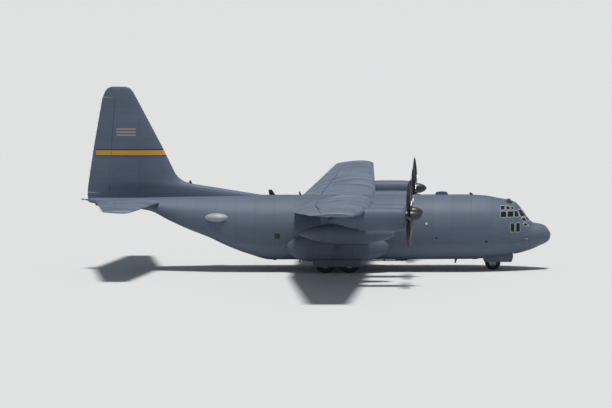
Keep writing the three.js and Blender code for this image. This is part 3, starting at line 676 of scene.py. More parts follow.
class PlaneSizes(bpy.types.PropertyGroup):
    """Sizes and counts of the aircraft's skins and fittings, in the model's own metres."""

    skin_step: length_property("Skin step", "Spacing of the lines that round the skins", 0.06, 0.02, 0.3)
    rim_height: length_property("Window rims", "How far window rims stand off the skin", 0.004, 0.0, 0.02)
    tyre_sides: count_property("Tyre sides", "Steps round a tyre", 72, 24, 96)
    blade_steps: count_property("Blade steps", "Sections along a blade", 26, 8, 60)
    hold_frames: count_property("Hold frames", "Frames along the hold", 24, 4, 60)


def sizes():
    return bpy.context.scene.plane_sizes


def make_materials():
    paint = bpy.context.scene.plane_paint
    # Faces in the gaps, slots and walls between parts take the hull grey at 0.7: painted shade.
    gap_shade = [c * 0.7 for c in paint.hull]
    MATERIALS.update(
        hull=skin_paint("hull_paint", paint.hull),
        tail=skin_paint("tail_paint", paint.hull, 0.8, 0.52, marks=fin_marks),
        wing=skin_paint("wing_paint", paint.wing, 0.42, 50.0, exhaust_soot, wing_stains),
        nacelle=skin_paint("nacelle_paint", paint.hull, 0.5, 0.3, exhaust_soot),
        radome=skin_paint("radome_paint", paint.radome, 50.0, 50.0, shine=0.5, grime=0.7),
        inside=plain("inside_paint", paint.inside, 0.6),
        edge=plain("gap_shade_paint", gap_shade, 0.6),
        # The blister is painted far paler than the hull grey: a painted highlight.
        pale=plain("blister_highlight", (0.27, 0.30, 0.345), 0.45, wear=0.08),
        blade=blade_finish(paint.propeller),
        spinner=plain("spinner_paint", paint.propeller, 0.4, scale=6.0, wear=0.2),
        tyre=tyre_finish(),
        rim=plain("wheel_paint", (0.42, 0.43, 0.44), 0.42, 0.2, scale=20.0),
        # Window rims are painted far paler than the hull grey: a painted highlight.
        frame=plain("window_rim_highlight", (0.33, 0.355, 0.38), 0.45, wear=0.1),
        enamel=plain("gear_enamel", (0.48, 0.49, 0.50), 0.38, 0.1, scale=20.0),
        chrome=plain("polished_steel", (0.62, 0.63, 0.65), 0.12, 1.0, wear=0.05),
        steel=plain("dull_steel", (0.24, 0.24, 0.245), 0.42, 0.9, scale=30.0, wear=0.2),
        burnt=burnt_metal(),
        # Near black for deep openings, inside intakes and jet pipes: painted shade.
        dark=plain("recess_shade", (0.010, 0.010, 0.011), 0.8, wear=0.2),
        rubber=plain("black_rubber", (0.014, 0.014, 0.015), 0.7, wear=0.2),
        # Near-black glass, 72 in a hundred opaque, darkening the flight deck behind it: painted shade.
        glass=plain("window_glass", (0.010, 0.014, 0.018), 0.06, wear=0.02, Alpha=0.72, Coat_Weight=0.6),
        # Opaque near-black panes: the dark of the rooms behind them is painted shade.
        port=plain("port_glass_shade", (0.010, 0.016, 0.024), 0.12, wear=0.02, Specular_IOR_Level=0.3),
        lens=plain("clear_lens", (0.75, 0.78, 0.80), 0.08, 0.2, wear=0.03, Coat_Weight=0.8),
        red=plain("red_lens", (0.55, 0.012, 0.010), 0.12, wear=0.05, Coat_Weight=0.8),
        green=plain("green_lens", (0.010, 0.30, 0.09), 0.12, wear=0.05, Coat_Weight=0.8),
        floor=hold_floor(),
        cabin=plain("cabin_plastic", (0.055, 0.058, 0.06), 0.55, wear=0.15),
        screen=plain("panel_screen", (0.02, 0.05, 0.055), 0.15, wear=0.4, scale=60.0, Coat_Weight=0.5),
        strap=plain("red_webbing", (0.30, 0.03, 0.022), 0.8, scale=40.0),
    )


# Meshes

# distance in metres within which points become one, and angle in radians from which an edge is sharp
MERGE, SHARP_EDGE = 2e-5, 0.62
SIDES = (("left", 1), ("right", -1))
ORIGIN = (0, 0, 0)


def ring(centre, across, up, count):
    """Points round an ellipse, from its middle and its two half axes."""
    centre, across, up = Vector(centre), Vector(across), Vector(up)
    turns = [2 * math.pi * k / count for k in range(count)]
    return [centre + across * math.cos(a) + up * math.sin(a) for a in turns]


class Shape:
    """A mesh being built. What is added takes the material number that is set at the time."""

    def __init__(self):
        self.bm = bmesh.new()
        self.material = 0

    def faces(self, corners):
        for verts in corners:
            face = self.bm.faces.new(verts)
            face.material_index, face.smooth = self.material, True

    def loft(self, rings, caps=True, closed=False):
        """A skin over rings of as many points each, capped at its ends or closed to a hoop."""
        rows = [[self.bm.verts.new(p) for p in points] for points in rings]
        count = len(rows[0])
        for a, b in zip(rows, rows[1:] + rows[:1] if closed else rows[1:]):
            self.faces((a[i], a[(i + 1) % count], b[(i + 1) % count], b[i]) for i in range(count))
        if caps and not closed:
            self.faces([rows[0][::-1], rows[-1]])
        return rows

    def sheet(self, rows):
        """A thin closed sheet. Each row runs along the front, and then back along the other face."""
        made = self.loft(rows, caps=False)
        for row in (made[0], made[-1]):
            self.faces((row[i], row[i + 1], row[-2 - i], row[-1 - i]) for i in range(len(row) // 2 - 1))

    def turned(self, profile, centre, axis, sides=32, caps=True, closed=False):
        """A profile of radii and places along an axis, turned about it."""
        axis = Vector(axis).normalized()
        out = Vector((0, 0, 1)) if abs(axis.z) < 0.9 else Vector((1, 0, 0))
        out = (out - axis * out.dot(axis)).normalized()
        centre, up = Vector(centre), axis.cross(out)
        rows = [(max(radius, 1e-5), centre + axis * place) for radius, place in profile]
        self.loft([ring(middle, out * radius, up * radius, sides) for radius, middle in rows], caps, closed)

    def rod(self, start, end, radius, sides=16, end_radius=None):
        """A rod with slightly broken edges."""
        start, end = Vector(start), Vector(end)
        far = end_radius or radius
        length, edge = (end - start).length, min(radius, far) * 0.15
        profile = [(radius - edge, 0), (radius, edge), (far, length - edge), (far - edge, length)]
        self.turned(profile, start, end - start, sides)

    def rods(self, *rows):
        """Rods, each given by its start, end, radius, sides and sometimes another radius at its end."""
        for row in rows:
            self.rod(*row)

    def tube(self, points, radius, sides=10):
        """A round tube along a path."""
        points = [Vector(p) for p in points]
        rings, side = [], None
        for before, point, after in zip(points[:1] + points, points, points[1:] + points[-1:]):
            run = (after - before).normalized()
            side = (run.orthogonal() if side is None else side - run * side.dot(run)).normalized()
            rings.append(ring(point, side * radius, run.cross(side) * radius, sides))
        self.loft(rings)

    def ball(self, centre, radii, sides=20):
        """An ellipsoid."""
        rings = []
        for a in np.radians(np.linspace(-90, 90, 10)):
            wide, middle = max(math.cos(a), 1e-4), Vector(centre) + Vector((0, 0, radii[2] * math.sin(a)))
            rings.append(ring(middle, (radii[0] * wide, 0, 0), (0, radii[1] * wide, 0), sides))
        self.loft(rings)

    def block(self, low, high, bevel=0.004, turn=None):
        """A box between two corners with bevelled edges, turned about its middle if a matrix is given."""
        low, high = Vector(low), Vector(high)
        span = high - low
        place = Matrix.Translation((low + high) / 2) @ (turn or Matrix.Identity(3)).to_4x4()
        made = bmesh.ops.create_cube(self.bm, size=1, matrix=place @ Matrix.Diagonal((*span, 1)))
        verts, how = set(made["verts"]), {"segments": 2, "affect": "EDGES", "profile": 0.5}
        edges = [e for e in self.bm.edges if verts.issuperset(e.verts)]
        offset = min(bevel, min(abs(v) for v in span) * 0.4)
        made = bmesh.ops.bevel(self.bm, geom=edges, offset=offset, **how)
        for face in {f for v in made["verts"] for f in v.link_faces}:
            face.material_index, face.smooth = self.material, True

    def prism(self, points, push):
        """A flat outline pushed through by a vector."""
        self.loft([points, [Vector(p) + Vector(push) for p in points]])

    def fin(self, foot, up, height, chord, tip, sweep):
        """A swept blade with a rounded section, standing on a surface: foot is the middle of its root."""
        foot, ahead, up = Vector(foot), Vector((1, 0, 0)), Vector((0, 0, up))
        across = ahead.cross(up)
        rings = []
        for share in (-0.08, 0.0, 0.5, 0.93, 1.0):
            grown = max(share, 0)
            long = chord * (1 - (1 - tip) * grown) * (0.8 if share == 1 else 1)
            wide = chord * 0.16 * (0.25 if share == 1 else 1 - 0.5 * grown)
            middle = foot + up * height * share - ahead * sweep * chord * grown
            flat = ring((0, 0, 0), (1, 0, 0), (0, 1, 0), 12)
            sections = [(0.5 * long * p.x, 0.5 * wide * p.y * (0.8 + 0.2 * p.x)) for p in flat]
            rings.append([middle + ahead * u + across * v for u, v in sections])
        self.loft(rings)


def put(name, shape, materials, slot, replaced=None, body=None, fix=True):
    """Makes the finished piece at the origin. It rides on a body, or else with the node it replaces."""
    bm = shape.bm if isinstance(shape, Shape) else shape
    if fix:
        bmesh.ops.remove_doubles(bm, verts=bm.verts, dist=MERGE)
        bmesh.ops.recalc_face_normals(bm, faces=bm.faces)
        for edge in bm.edges:
            edge.smooth = len(edge.link_faces) == 2 and edge.calc_face_angle(0) < SHARP_EDGE
    mesh = bpy.data.meshes.new(name)
    bm.to_mesh(mesh)
    bm.free()
    for material in materials.split():
        mesh.materials.append(MATERIALS[material])
    piece = bpy.data.objects.new(name, mesh)
    bpy.context.scene.collection.objects.link(piece)
    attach(piece, body or (replaced if replaced in FRAME["bodies"] else "airframe"))
    if replaced:
        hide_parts(replaced)


def repeat_group():
    """A node group that repeats a mesh: each copy a step further and turned a bit more about a centre."""
    group = bpy.data.node_groups.new("Repeat in a row or ring", "GeometryNodeTree")
    kinds = {"Mesh": "Geometry", "Count": "Int", "Step": "Vector", "Turn": "Vector", "Centre": "Vector"}
    for name, kind in {**kinds, "Material": "Material"}.items():
        group.interface.new_socket(name, in_out="INPUT", socket_type=f"NodeSocket{kind}")
    group.interface.new_socket("Mesh", in_out="OUTPUT", socket_type="NodeSocketGeometry")
    tree = Tree(group)
    source = group.nodes.new("NodeGroupInput")
    mesh, count, step, turn, centre, material = [Link(tree, socket) for socket in source.outputs[:6]]
    index = tree.node("GeometryNodeInputIndex")
    moved = tree.node("ShaderNodeVectorMath", {"operation": "SCALE"}, {0: step, "Scale": index})
    angles = tree.node("ShaderNodeVectorMath", {"operation": "SCALE"}, {0: turn, "Scale": index})
    rotation = tree.node("FunctionNodeEulerToRotation", sockets={0: angles})
    swung = tree.node("FunctionNodeRotateVector", sockets={0: centre, 1: rotation})
    offset = tree.node("ShaderNodeVectorMath", {"operation": "SUBTRACT"}, {0: centre, 1: swung})
    place = tree.node("ShaderNodeVectorMath", {"operation": "ADD"}, {0: offset, 1: moved})
    points = tree.node("GeometryNodePoints", sockets={"Count": count, "Position": place})
    sockets = {"Points": points, "Instance": mesh, "Rotation": rotation}
    copies = tree.node("GeometryNodeInstanceOnPoints", sockets=sockets)
    real = tree.node("GeometryNodeRealizeInstances", sockets={0: copies})
    dressed = tree.node("GeometryNodeSetMaterial", sockets={"Geometry": real, "Material": material})
    tree.node("NodeGroupOutput", sockets={0: dressed})
    return group


def repeated(name, shape, material, slot, count, step=ORIGIN, turn=ORIGIN, centre=ORIGIN, body=None):
    """Repeats a shape in a row or ring with Geometry Nodes, and puts the result as one piece."""
    bmesh.ops.remove_doubles(shape.bm, verts=shape.bm.verts, dist=1e-6)
    bmesh.ops.recalc_face_normals(shape.bm, faces=shape.bm.faces)
    mesh = bpy.data.meshes.new("one_copy")
    shape.bm.to_mesh(mesh)
    shape.bm.free()
    source = bpy.data.objects.new("one_copy", mesh)
    bpy.context.scene.collection.objects.link(source)
    modifier = source.modifiers.new("Repeat", "NODES")
    group = bpy.data.node_groups.get("Repeat in a row or ring") or repeat_group()
    modifier.node_group = group
    values = {"Count": count, "Step": list(step), "Turn": list(turn), "Centre": list(centre)}
    values["Material"] = MATERIALS[material]
    for item in group.interface.items_tree:
        if item.in_out == "INPUT" and item.name in values:
            modifier[item.identifier] = values[item.name]
    result = bpy.data.meshes.new_from_object(source.evaluated_get(bpy.context.evaluated_depsgraph_get()))
    bpy.data.objects.remove(source)
    bm = bmesh.new()
    bm.from_mesh(result)
    for face in bm.faces:
        face.material_index, face.smooth = 0, True
    put(name, bm, material, slot, body=body)


def new_finish(node, material):
    """Gives a frame node whose shape is right a better finish."""
    for slot in NODES[node].material_slots:
        slot.material = MATERIALS[material]


# Skins


def sliced(bm, planes):
    for place, normal in planes:
        geometry = bm.verts[:] + bm.edges[:] + bm.faces[:]
        bmesh.ops.bisect_plane(bm, geom=geometry, dist=1e-6, plane_co=place, plane_no=normal)


def node_mesh(name, steps=()):
    """A merged copy of a frame node, cut across x, y and z at even steps where these are given."""
    bm = bmesh.new()
    bm.from_mesh(NODES[name].data)
    bmesh.ops.remove_doubles(bm, verts=bm.verts, dist=MERGE)
    for axis, step in enumerate(steps):
        values = [v.co[axis] for v in bm.verts]
        low, span = min(values), max(values) - min(values)
        normal = Vector([float(i == axis) for i in range(3)])
        count = max(int(span / step), 1) if step else 0
        sliced(bm, [(normal * (low + (i + 0.5) * span / count), normal) for i in range(count)])
    return bm


def smooth_skin(bm, surface, wall=0.0, tolerance=0.008, beyond=None):
    """Moves a copied node's outer and inner skin to the smooth surface. Other faces get material 1."""
    co = np.array([v.co for v in bm.verts], float)
    depth = surface.depth(co)
    middles = np.array([f.calc_center_median() for f in bm.faces], float)
    deep = surface.depth(middles) > tolerance
    outer = abs(depth) < tolerance
    target = co.copy()
    target[outer] = surface.snapped(co[outer])
    if wall:
        inner = ~outer & (abs(surface.depth(co, wall)) < tolerance)
        target[inner] = surface.snapped(co[inner], wall)
    outside = outer | (depth < -tolerance)
    if beyond is not None:
        past = beyond(co)
        target[past] = co[past]
        outside |= past
        deep &= ~beyond(middles)
    bm.verts.index_update()
    bm.normal_update()
    straight = surface.outward(middles, np.array([f.normal for f in bm.faces], float))
    for face, inner, plain_skin in zip(bm.faces, deep, straight):
        skin = not inner and (plain_skin or all(outside[v.index] for v in face.verts))
        face.material_index = 0 if skin else 1
        face.smooth = True
    for vert, place in zip(bm.verts, target):
        vert.co = place
    bm.normal_update()
    for edge in bm.edges:
        faces = edge.link_faces
        if len(faces) == 2:
            same = faces[0].material_index == faces[1].material_index
            edge.smooth = same and edge.calc_face_angle(0) < 0.6


class PLANE_OT_fuselage(bpy.types.Operator):
    """Rounds the skins of the fuselage, its doors and its ramp, and paints them."""

    bl_idname = "plane.fuselage"
    bl_label = "Fuselage skins"

    # node and thickness of its wall
    walls = {
        "radome": 0,
        "forward_fuselage": 70,
        "centre_fuselage": 70,
        "aft_fuselage": 50,
        "tail_cone": 50,
        "cargo_ramp": 0,
        "cargo_door": 110,
        "crew_door": 70,
        "jump_door_left": 66,
        "jump_door_right": 66,
    }

    def execute(self, context):
        step, cone_end = sizes().skin_step, along(-29370)
        for node, wall in self.walls.items():
            paint = "radome" if node == "radome" else "hull"
            lengthwise = None if node == "centre_fuselage" else step * 1.3
            bm = node_mesh(node, (lengthwise, step * 0.8, step * 0.8))
            smooth_skin(bm, BODY, size(wall), beyond=lambda co: co[:, 0] < cone_end)
            put(f"{node}_skin", bm, f"{paint} inside", f"{paint}_paint", node, fix=False)
        return {"FINISHED"}


def mirrored(planes):
    return [[Vector((v.x, -v.y, v.z)) for v in plane] for plane in planes]


class PLANE_OT_wings(bpy.types.Operator):
    """Rounds the wing, the tail and their control surfaces, and paints them."""

    bl_idname = "plane.wings"
    bl_label = "Wing and tail skins"

    extra_shares = (0.003, 0.02, 0.03, 0.065, 0.09, 0.16, 0.2, 0.31, 0.45, 0.6, 0.76, 0.92)

    def execute(self, context):
        middle, outer = (WING_FOIL.cut_planes(i, i + 1, self.extra_shares) for i in (0, 1))
        tail = TAIL_FOIL.cut_planes(0, 1, self.extra_shares)
        upper, lower = (FIN_FOIL.cut_planes(i, k, self.extra_shares) for i, k in ((8, 10), (2, 4)))
        rows = [("wing_centre", WING_FOIL, middle)]
        for side, own in (("left", outer), ("right", mirrored(outer))):
            for part in ("wing", "flap_inner", "flap_outer", "aileron"):
                rows.append((f"{part}_{side}", WING_FOIL, middle if part == "flap_inner" else own))
        rows += [
            ("tailplane", TAIL_FOIL, tail + mirrored(tail)),
            ("elevator_left", TAIL_FOIL, tail),
            ("elevator_right", TAIL_FOIL, mirrored(tail)),
            ("fin", FIN_FOIL, upper + lower),
            ("rudder", FIN_FOIL, upper),
        ]
        for node, foil, planes in rows:
            bm = node_mesh(node)
            sliced(bm, planes)
            smooth_skin(bm, foil, tolerance=0.0076, beyond=lambda co: abs(co[:, 1]) > foil.tip)
            # Faces off the skin, in the gaps and slots between wing, tail and control surfaces, take the
            # darker edge grey: painted shade.
            paint = ("tail edge", "hull_paint") if foil.upright else ("wing edge", "wing_paint")
            put(f"{node}_skin", bm, *paint, node, fix=False)
        return {"FINISHED"}


def outline(u0, u1, v0, v1, corner, grow=0.0, straight=4, arc=4):
    """Points round a rectangle with round corners, grown outwards by a distance."""
    u, v, reach = (u0 + corner, u1 - corner), (v0 + corner, v1 - corner), corner + grow
    arcs = []
    for k, (i, j) in enumerate(((1, 1), (0, 1), (0, 0), (1, 0))):
        turns = [(k + step / arc) * math.pi / 2 for step in range(arc + 1)]
        arcs.append([Vector((u[i] + reach * math.cos(a), v[j] + reach * math.sin(a))) for a in turns])
    points = []
    for run, ahead in zip(arcs, arcs[1:] + arcs[:1]):
        points += run + [run[-1].lerp(ahead[0], (i + 1) / (straight + 1)) for i in range(straight)]
    return points


class PLANE_OT_nacelles(bpy.types.Operator):
    """Rounds the four nacelles and the two landing gear fairings, with their intakes, exhausts and vents."""

    bl_idname = "plane.nacelles"
    bl_label = "Nacelles and fairings"

    def rounded(self, name, hull, steps, wall, materials):
        bm = node_mesh(name, steps)
        smooth_skin(bm, hull, size(wall), tolerance=0.004)
        put(f"{name}_skin", bm, materials, "hull_paint", name, fix=False)

    def intake(self, name, y, z):
        """A rounded lip round the mouth below the spinner, a trapezium, and the duct behind it."""
        front = PROPELLER_X - NACELLE[0][0]

        def mouth(grow, back):
            points = outline(-240, 240, -740, -480, 60, grow)
            return [at(front - back, y + p.x * (1 + (p.y + 610) / 1100), z + p.y) for p in points]

        shape = Shape()
        lip = ((-22, 60), (-24, 12), (-8, -12), (14, -10), (26, 14), (26, 60))
        duct = ((-24, 20), (-34, 160), (-50, 270), (-40, 275), (-8, 160), (-6, 20))
        # The duct and the plate that closes it take the near-black recess material: painted shade deep in
        # the intake.
        for material, rows in enumerate((lip, duct)):
            shape.material = material
            shape.loft([mouth(*row) for row in rows], closed=True)
        shape.prism(mouth(-30, 262), (-size(10), 0, 0))
        put(f"{name}_intake", shape, "steel dark", "hull_paint")

    def exhaust(self, name, y, z):
        """The jet pipe half sunk in the nacelle's underside, and the lip of the vent at its end."""

        def oval(x, low, wide, tall):
            return ring(at(x, y, z + low), (0, size(wide), 0), (0, 0, size(tall)), 32)

        shape = Shape()
        rows = [(-11350, -640, 150, 110), (-11650, -700, 190, 140), (-12080, -745, 200, 150)]
        rows += [(x, low, wide - 14, tall - 14) for x, low, wide, tall in reversed(rows)]
        shape.loft([oval(*row) for row in rows], closed=True)
        # The plate that closes the pipe is near black: painted shade deep inside it.
        shape.material = 1
        shape.prism(oval(-11650, -700, 170, 120), (-size(20), 0, 0))
        shape.material = 0
        behind, top, bottom, _, half = NACELLE[-1]
        middle, tall, end = (top + bottom) / 2, (top - bottom) / 2, PROPELLER_X - behind
        lip = ((20, 4), (-26, -8), (-30, -26), (60, -36))
        shape.loft([oval(end + x, middle, half + grow, tall + grow) for x, grow in lip], closed=True)
        put(f"{name}_exhaust", shape, "burnt dark", "engine_metal")

    def execute(self, context):
        for side, sign in SIDES:
            for place, (y, z) in ENGINES.items():
                name = f"nacelle_{place}_{side}"
                # Inner and cut faces of the nacelles take the darker edge grey: painted shade.
                self.rounded(name, nacelle_hull(place, sign), (0.09, 0.03, 0.035), 40, "nacelle edge")
                self.intake(name, sign * y, z)
                self.exhaust(name, sign * y, z)
            name, hull = f"gear_fairing_{side}", fairing_hull(sign)
            self.rounded(name, hull, (0.08, 0.04, 0.05), 0, "hull inside")
            slat = Shape()
            x, z = along(-13200), size(1640)
            middle, reach = Vector((x, hull.side_y(x, z, sign), z)), Vector((0.004, 0.006, 0.09))
            slat.block(middle - reach, middle + reach, 0.002)
            # The vent slats take the darker edge grey: painted shade between them.
            repeated(f"{name}_vent", slat, "edge", "hull_paint", 9, (-0.022, 0, 0))
        return {"FINISHED"}


# Windows


def side_surface(sign):
    """Gives places on the body's side from pairs of x and z and a depth below the skin, full size."""

    def places(pairs, inset=0.0):
        flat = [(along(u), size(v)) for u, v in pairs]
        return [Vector((x, BODY.side_y(x, z, sign, size(inset)), z)) for x, z in flat]

    return places


def front_surface(pairs, inset=0.0):
    """Places on the cockpit's front from pairs of y and z and a depth below the skin."""
    flat = np.array([(size(u), size(v)) for u, v in pairs])
    x = BODY.front_x(flat[:, 0], flat[:, 1], along(-2700), along(-900), size(inset))
    return [Vector((u, *v)) for u, v in zip(x, flat)]


def roof_surface(pairs, inset=0.0):
    """Places on the body's roof from pairs of x and y and a depth below the skin."""
    flat = [(along(u), size(v)) for u, v in pairs]
    return [Vector((x, y, BODY.top_z(x, y, 1, size(inset)))) for x, y in flat]


def window_outline(edges, corner, grow, straight):
    """An outline whose sides lean to the ends of its top edge, where the edges give those too."""
    u0, u1, v0, v1, top0, top1 = [*edges, *edges[:2]][:6]
    moved = []
    for u, v in outline(u0, u1, v0, v1, corner, grow, straight):
        share = (v - v0) / (v1 - v0)
        low, high = u0 + (top0 - u0) * share, u1 + (top1 - u1) * share
        moved.append(Vector((low + (u - u0) / (u1 - u0) * (high - low), v)))
    return moved


def rim(shape, surface, edges, corner, width=30, proud=8, straight=4):
    """A raised rim round a window or hatch."""
    rows = ((width, 4), (width - 8, -proud), (-4, -proud), (-10, 30))
    loops = [surface(window_outline(edges, corner, grow, straight), inset) for grow, inset in rows]
    shape.loft(loops, closed=True)


def pane(shape, surface, edges, corner, sunk=14, straight=4):
    """A pane that follows the skin a little below it."""
    points = window_outline(edges, corner, -6, straight)
    middle = sum(points, Vector((0, 0))) / len(points)
    back = sunk + 16
    rows = ((0.02, sunk), (0.35, sunk), (0.7, sunk), (1, sunk), (1, back), (0.7, back), (0.02, back))
    shape.loft([surface([middle.lerp(p, share) for p in points], inset) for share, inset in rows])


# x and z ranges of the windows at the side; a window that leans has the ends of its top edge as well
SIDE_PANES = (
    (-3150, -2800, 3430, 3790),
    (-2725, -2355, 3430, 3790),
    (-2270, -1990, 3430, 3790, -2290, -2110),
    (-3160, -2890, 3880, 4110),
    (-2770, -2560, 3880, 4090, -2830, -2620),
    (-2450, -2300, 3880, 4050, -2530, -2370),
    (-2530, -2290, 2490, 3060),
    (-2190, -1940, 2490, 3060),
)
# The same for the windows ahead, by y and z
FRONT_PANES = (
    (-290, 290, 3430, 3880, -250, 250),
    (360, 980, 3420, 3830, 320, 790),
    (-980, -360, 3420, 3830, -790, -320),
    (90, 600, 3130, 3340),
    (690, 1010, 3130, 3340),
    (-600, -90, 3130, 3340),
    (-1010, -690, 3130, 3340),
    (880, 1110, 2840, 3010),
    (-1110, -880, 2840, 3010),
)


def square(x, z, half):
    return x - half, x + half, z - half, z + half


class PLANE_OT_windows(bpy.types.Operator):
    """Sets panes with rims in the cockpit, round ports in the sides and doors, hatch outlines and wipers."""

    bl_idname = "plane.windows"
    bl_label = "Windows and hatches"

    # x, z and radius
    ports = ((-7810, 3100, 78), (-7180, 2190, 70))
    # x and z ranges, and corner radius
    hatches = (
        (-7420, -6940, 1860, 2580, 90),
        (-20700, -20280, 3150, 3560, 60),
        (-5640, -5180, 1500, 1760, 40),
    )
    # x range, half width and corner radius
    roof_hatches = ((-9250, -8700, 290, 120), (-16980, -16420, 290, 120), (-3620, -3160, 250, 100))

    def execute(self, context):
        rims, glass, proud = Shape(), Shape(), sizes().rim_height * MODEL_METRE
        rows = [(side_surface(sign), edges, 55, 26) for _, sign in SIDES for edges in SIDE_PANES]
        rows += [(front_surface, edges, 50, 32) for edges in FRONT_PANES]
        for surface, edges, corner, width in rows:
            rim(rims, surface, edges, corner, width, proud)
            pane(glass, surface, edges, corner)
        # The rims' pale grey is a painted highlight.
        put("cockpit_window_rims", rims, "frame", "hull_paint")
        # The panes are the near-black window glass: painted shade over the flight deck.
        put("cockpit_panes", glass, "glass", "window_glass", "cockpit_glazing")
        outlines, discs = Shape(), Shape()
        for _, sign in SIDES:
            surface = side_surface(sign)
            for material, (x, z, radius) in enumerate(self.ports):
                discs.material = material
                rim(outlines, surface, square(x, z, radius), radius, 34, 12, 0)
                # The second port's pane is opaque near-black glass: painted shade.
                pane(discs, surface, square(x, z, radius), radius, -4, 0)
            for *edges, corner in self.hatches:
                rim(outlines, surface, edges, corner, 14, 5)
        for x0, x1, half, corner in self.roof_hatches:
            rim(outlines, roof_surface, (x0, x1, -half, half), corner, 16, 6)
        # This pane is opaque near-black glass as well: painted shade.
        pane(discs, side_surface(-1), (-4120, -3975, 1855, 2010), 30, -4, 0)
        put("port_rims_and_hatches", outlines, "hull", "hull_paint")
        put("port_panes", discs, "lens port", "window_glass")
        for side, sign in SIDES:
            self.door_window(f"jump_door_window_{side}", None, sign, -17195, 2330, 175)
        self.door_window("crew_door_window", "crew_door", 1, -4370, 1830, 120)
        self.wipers()
        return {"FINISHED"}

    def door_window(self, name, body, sign, x, z, half):
        shape = Shape()
        rim(shape, side_surface(sign), square(x, z, half), half * 0.6, 30, 10, 1)
        # The pane is opaque near-black glass: painted shade.
        shape.material = 1
        pane(shape, side_surface(sign), square(x, z, half), half * 0.6, -4, 1)
        put(name, shape, "hull port", "window_glass", body=body)

    def wipers(self):
        shape = Shape()
        for sign in (1, -1):
            for y, z in ((150, 3760), (560, 3740)):
                path = front_surface([(sign * 380, 3380), (sign * (380 + y) / 2, 3560), (sign * y, z)], -22)
                shape.tube(path, 0.004)
            shape.ball(path[0], (0.012, 0.012, 0.012), 10)
        put("wipers", shape, "rubber", "gear_steel")


# Propellers

# radius, chord and thickness
BLADE = np.array([
    [200, 130, 110],
    [480, 220, 70],
    [1000, 370, 42],
    [1550, 320, 26],
    [1930, 190, 14],
    [2055, 40, 8],
], float)
BLADE_ROOT, BLADE_TIP, WIDEST = BLADE[0, 0], BLADE[-1, 0], BLADE[:, 1].max()
# length of the round root, and the chord under which the tip is left unswept
ROUND_ROOT, TIP_CHORD = 260, 60
BLADES = 8
PITCH = math.radians(44)


class PLANE_OT_propellers(bpy.types.Operator):
    """Makes the four propellers: spinners, and twisted blades set round each hub by Geometry Nodes."""

    bl_idname = "plane.propellers"
    bl_label = "Propellers"

    def blade(self, hub):
        """One blade pointing up, with its share along span and chord kept for the paint."""
        shape = Shape()
        layer = shape.bm.verts.layers.float_vector.new("share")
        out = 1 - (1 - np.linspace(0, 1, sizes().blade_steps)) ** 1.25
        radii = BLADE_ROOT + (BLADE_TIP - BLADE_ROOT) * out
        rings, shares = [], []
        for radius, (chord, thick) in zip(radii, pchip(BLADE[:, 0], BLADE[:, 1:], radii)):
            # the pitch is set at three quarters of the radius, the root is round and the tip swept back
            pitch = math.atan(math.tan(PITCH) * 0.75 * BLADE_TIP / radius)
            blunt = 0.45 * min((radius - BLADE_ROOT) / ROUND_ROOT, 1)
            sweep = -0.06 * (radius / BLADE_TIP) ** 3 * WIDEST / chord if chord > TIP_CHORD else 0
            points = []
            for c, s, _ in ring((0, 0, 0), (1, 0, 0), (0, 1, 0), 16):
                u = (c / 2 + sweep) * chord
                v = (s * 0.5 * (1 + blunt * c) + 0.06 * (1 - c * c)) * thick
                x = u * math.sin(pitch) + v * math.cos(pitch)
                y = v * math.sin(pitch) - u * math.cos(pitch)
                points.append(hub + Vector((x, y, radius)) / MODEL_METRE)
                shares.append((radius / BLADE_TIP, 0.5 - c / 2, 0))
            rings.append(points)
        for vert, share in zip(sum(shape.loft(rings), []), shares):
            vert[layer] = share
        return shape

    def spinner(self, hub):
        """The spinner with its back plate and seam, and a dark socket for each blade."""
        shape = Shape()
        radius, straight, nose = 335, 130, 780
        profile = [(0, -195), (radius - 12, -200), (radius, -190), (radius, -62), (radius - 6, -56)]
        profile += [(radius, -50), (radius, 60)]
        for share in np.linspace(0, 1, 25):
            profile.append((radius * (1 - share**1.9) ** 0.62, straight + (nose - straight) * share))
        shape.turned([(size(r), size(a)) for r, a in profile], hub, (1, 0, 0), 64)
        shape.material = 1
        for k in range(BLADES):
            out = Matrix.Rotation(2 * math.pi / BLADES * k, 3, "X") @ Vector((0, 0, 1))
            shape.rod(hub + out * size(300), hub + out * size(352), size(88), 20, size(80))
        return shape

    def execute(self, context):
        for place, (y, z) in ENGINES.items():
            for side, sign in SIDES:
                name, slot = f"propeller_{place}_{side}", "propeller_composite"
                hub, turn = at(PROPELLER_X, sign * y, z), (2 * math.pi / BLADES, 0, 0)
                put(f"{name}_spinner", self.spinner(hub), "spinner rubber", slot, name)
                where = {"turn": turn, "centre": hub, "body": name}
                repeated(f"{name}_blades", self.blade(hub), "blade", slot, BLADES, **where)
        return {"FINISHED"}


# Fuel tanks

TANK_Y, TANK_Z, TANK_NOSE, TANK_LENGTH, TANK_RADIUS = 7600, 3000, -9680, 6000, 610
# share of the length, share of the radius
TANK_PROFILE = np.array([
    [0, 0],
    [0.02, 0.3],
    [0.08, 0.62],
    [0.18, 0.87],
    [0.32, 1],
    [0.58, 1],
    [0.76, 0.82],
    [0.9, 0.46],
    [1, 0],
])


def tank_radii(shares):
    roots = np.sqrt(TANK_PROFILE[:, 0])
    return pchip(roots, TANK_PROFILE[:, 1:], np.sqrt(shares))[:, 0] * size(TANK_RADIUS)


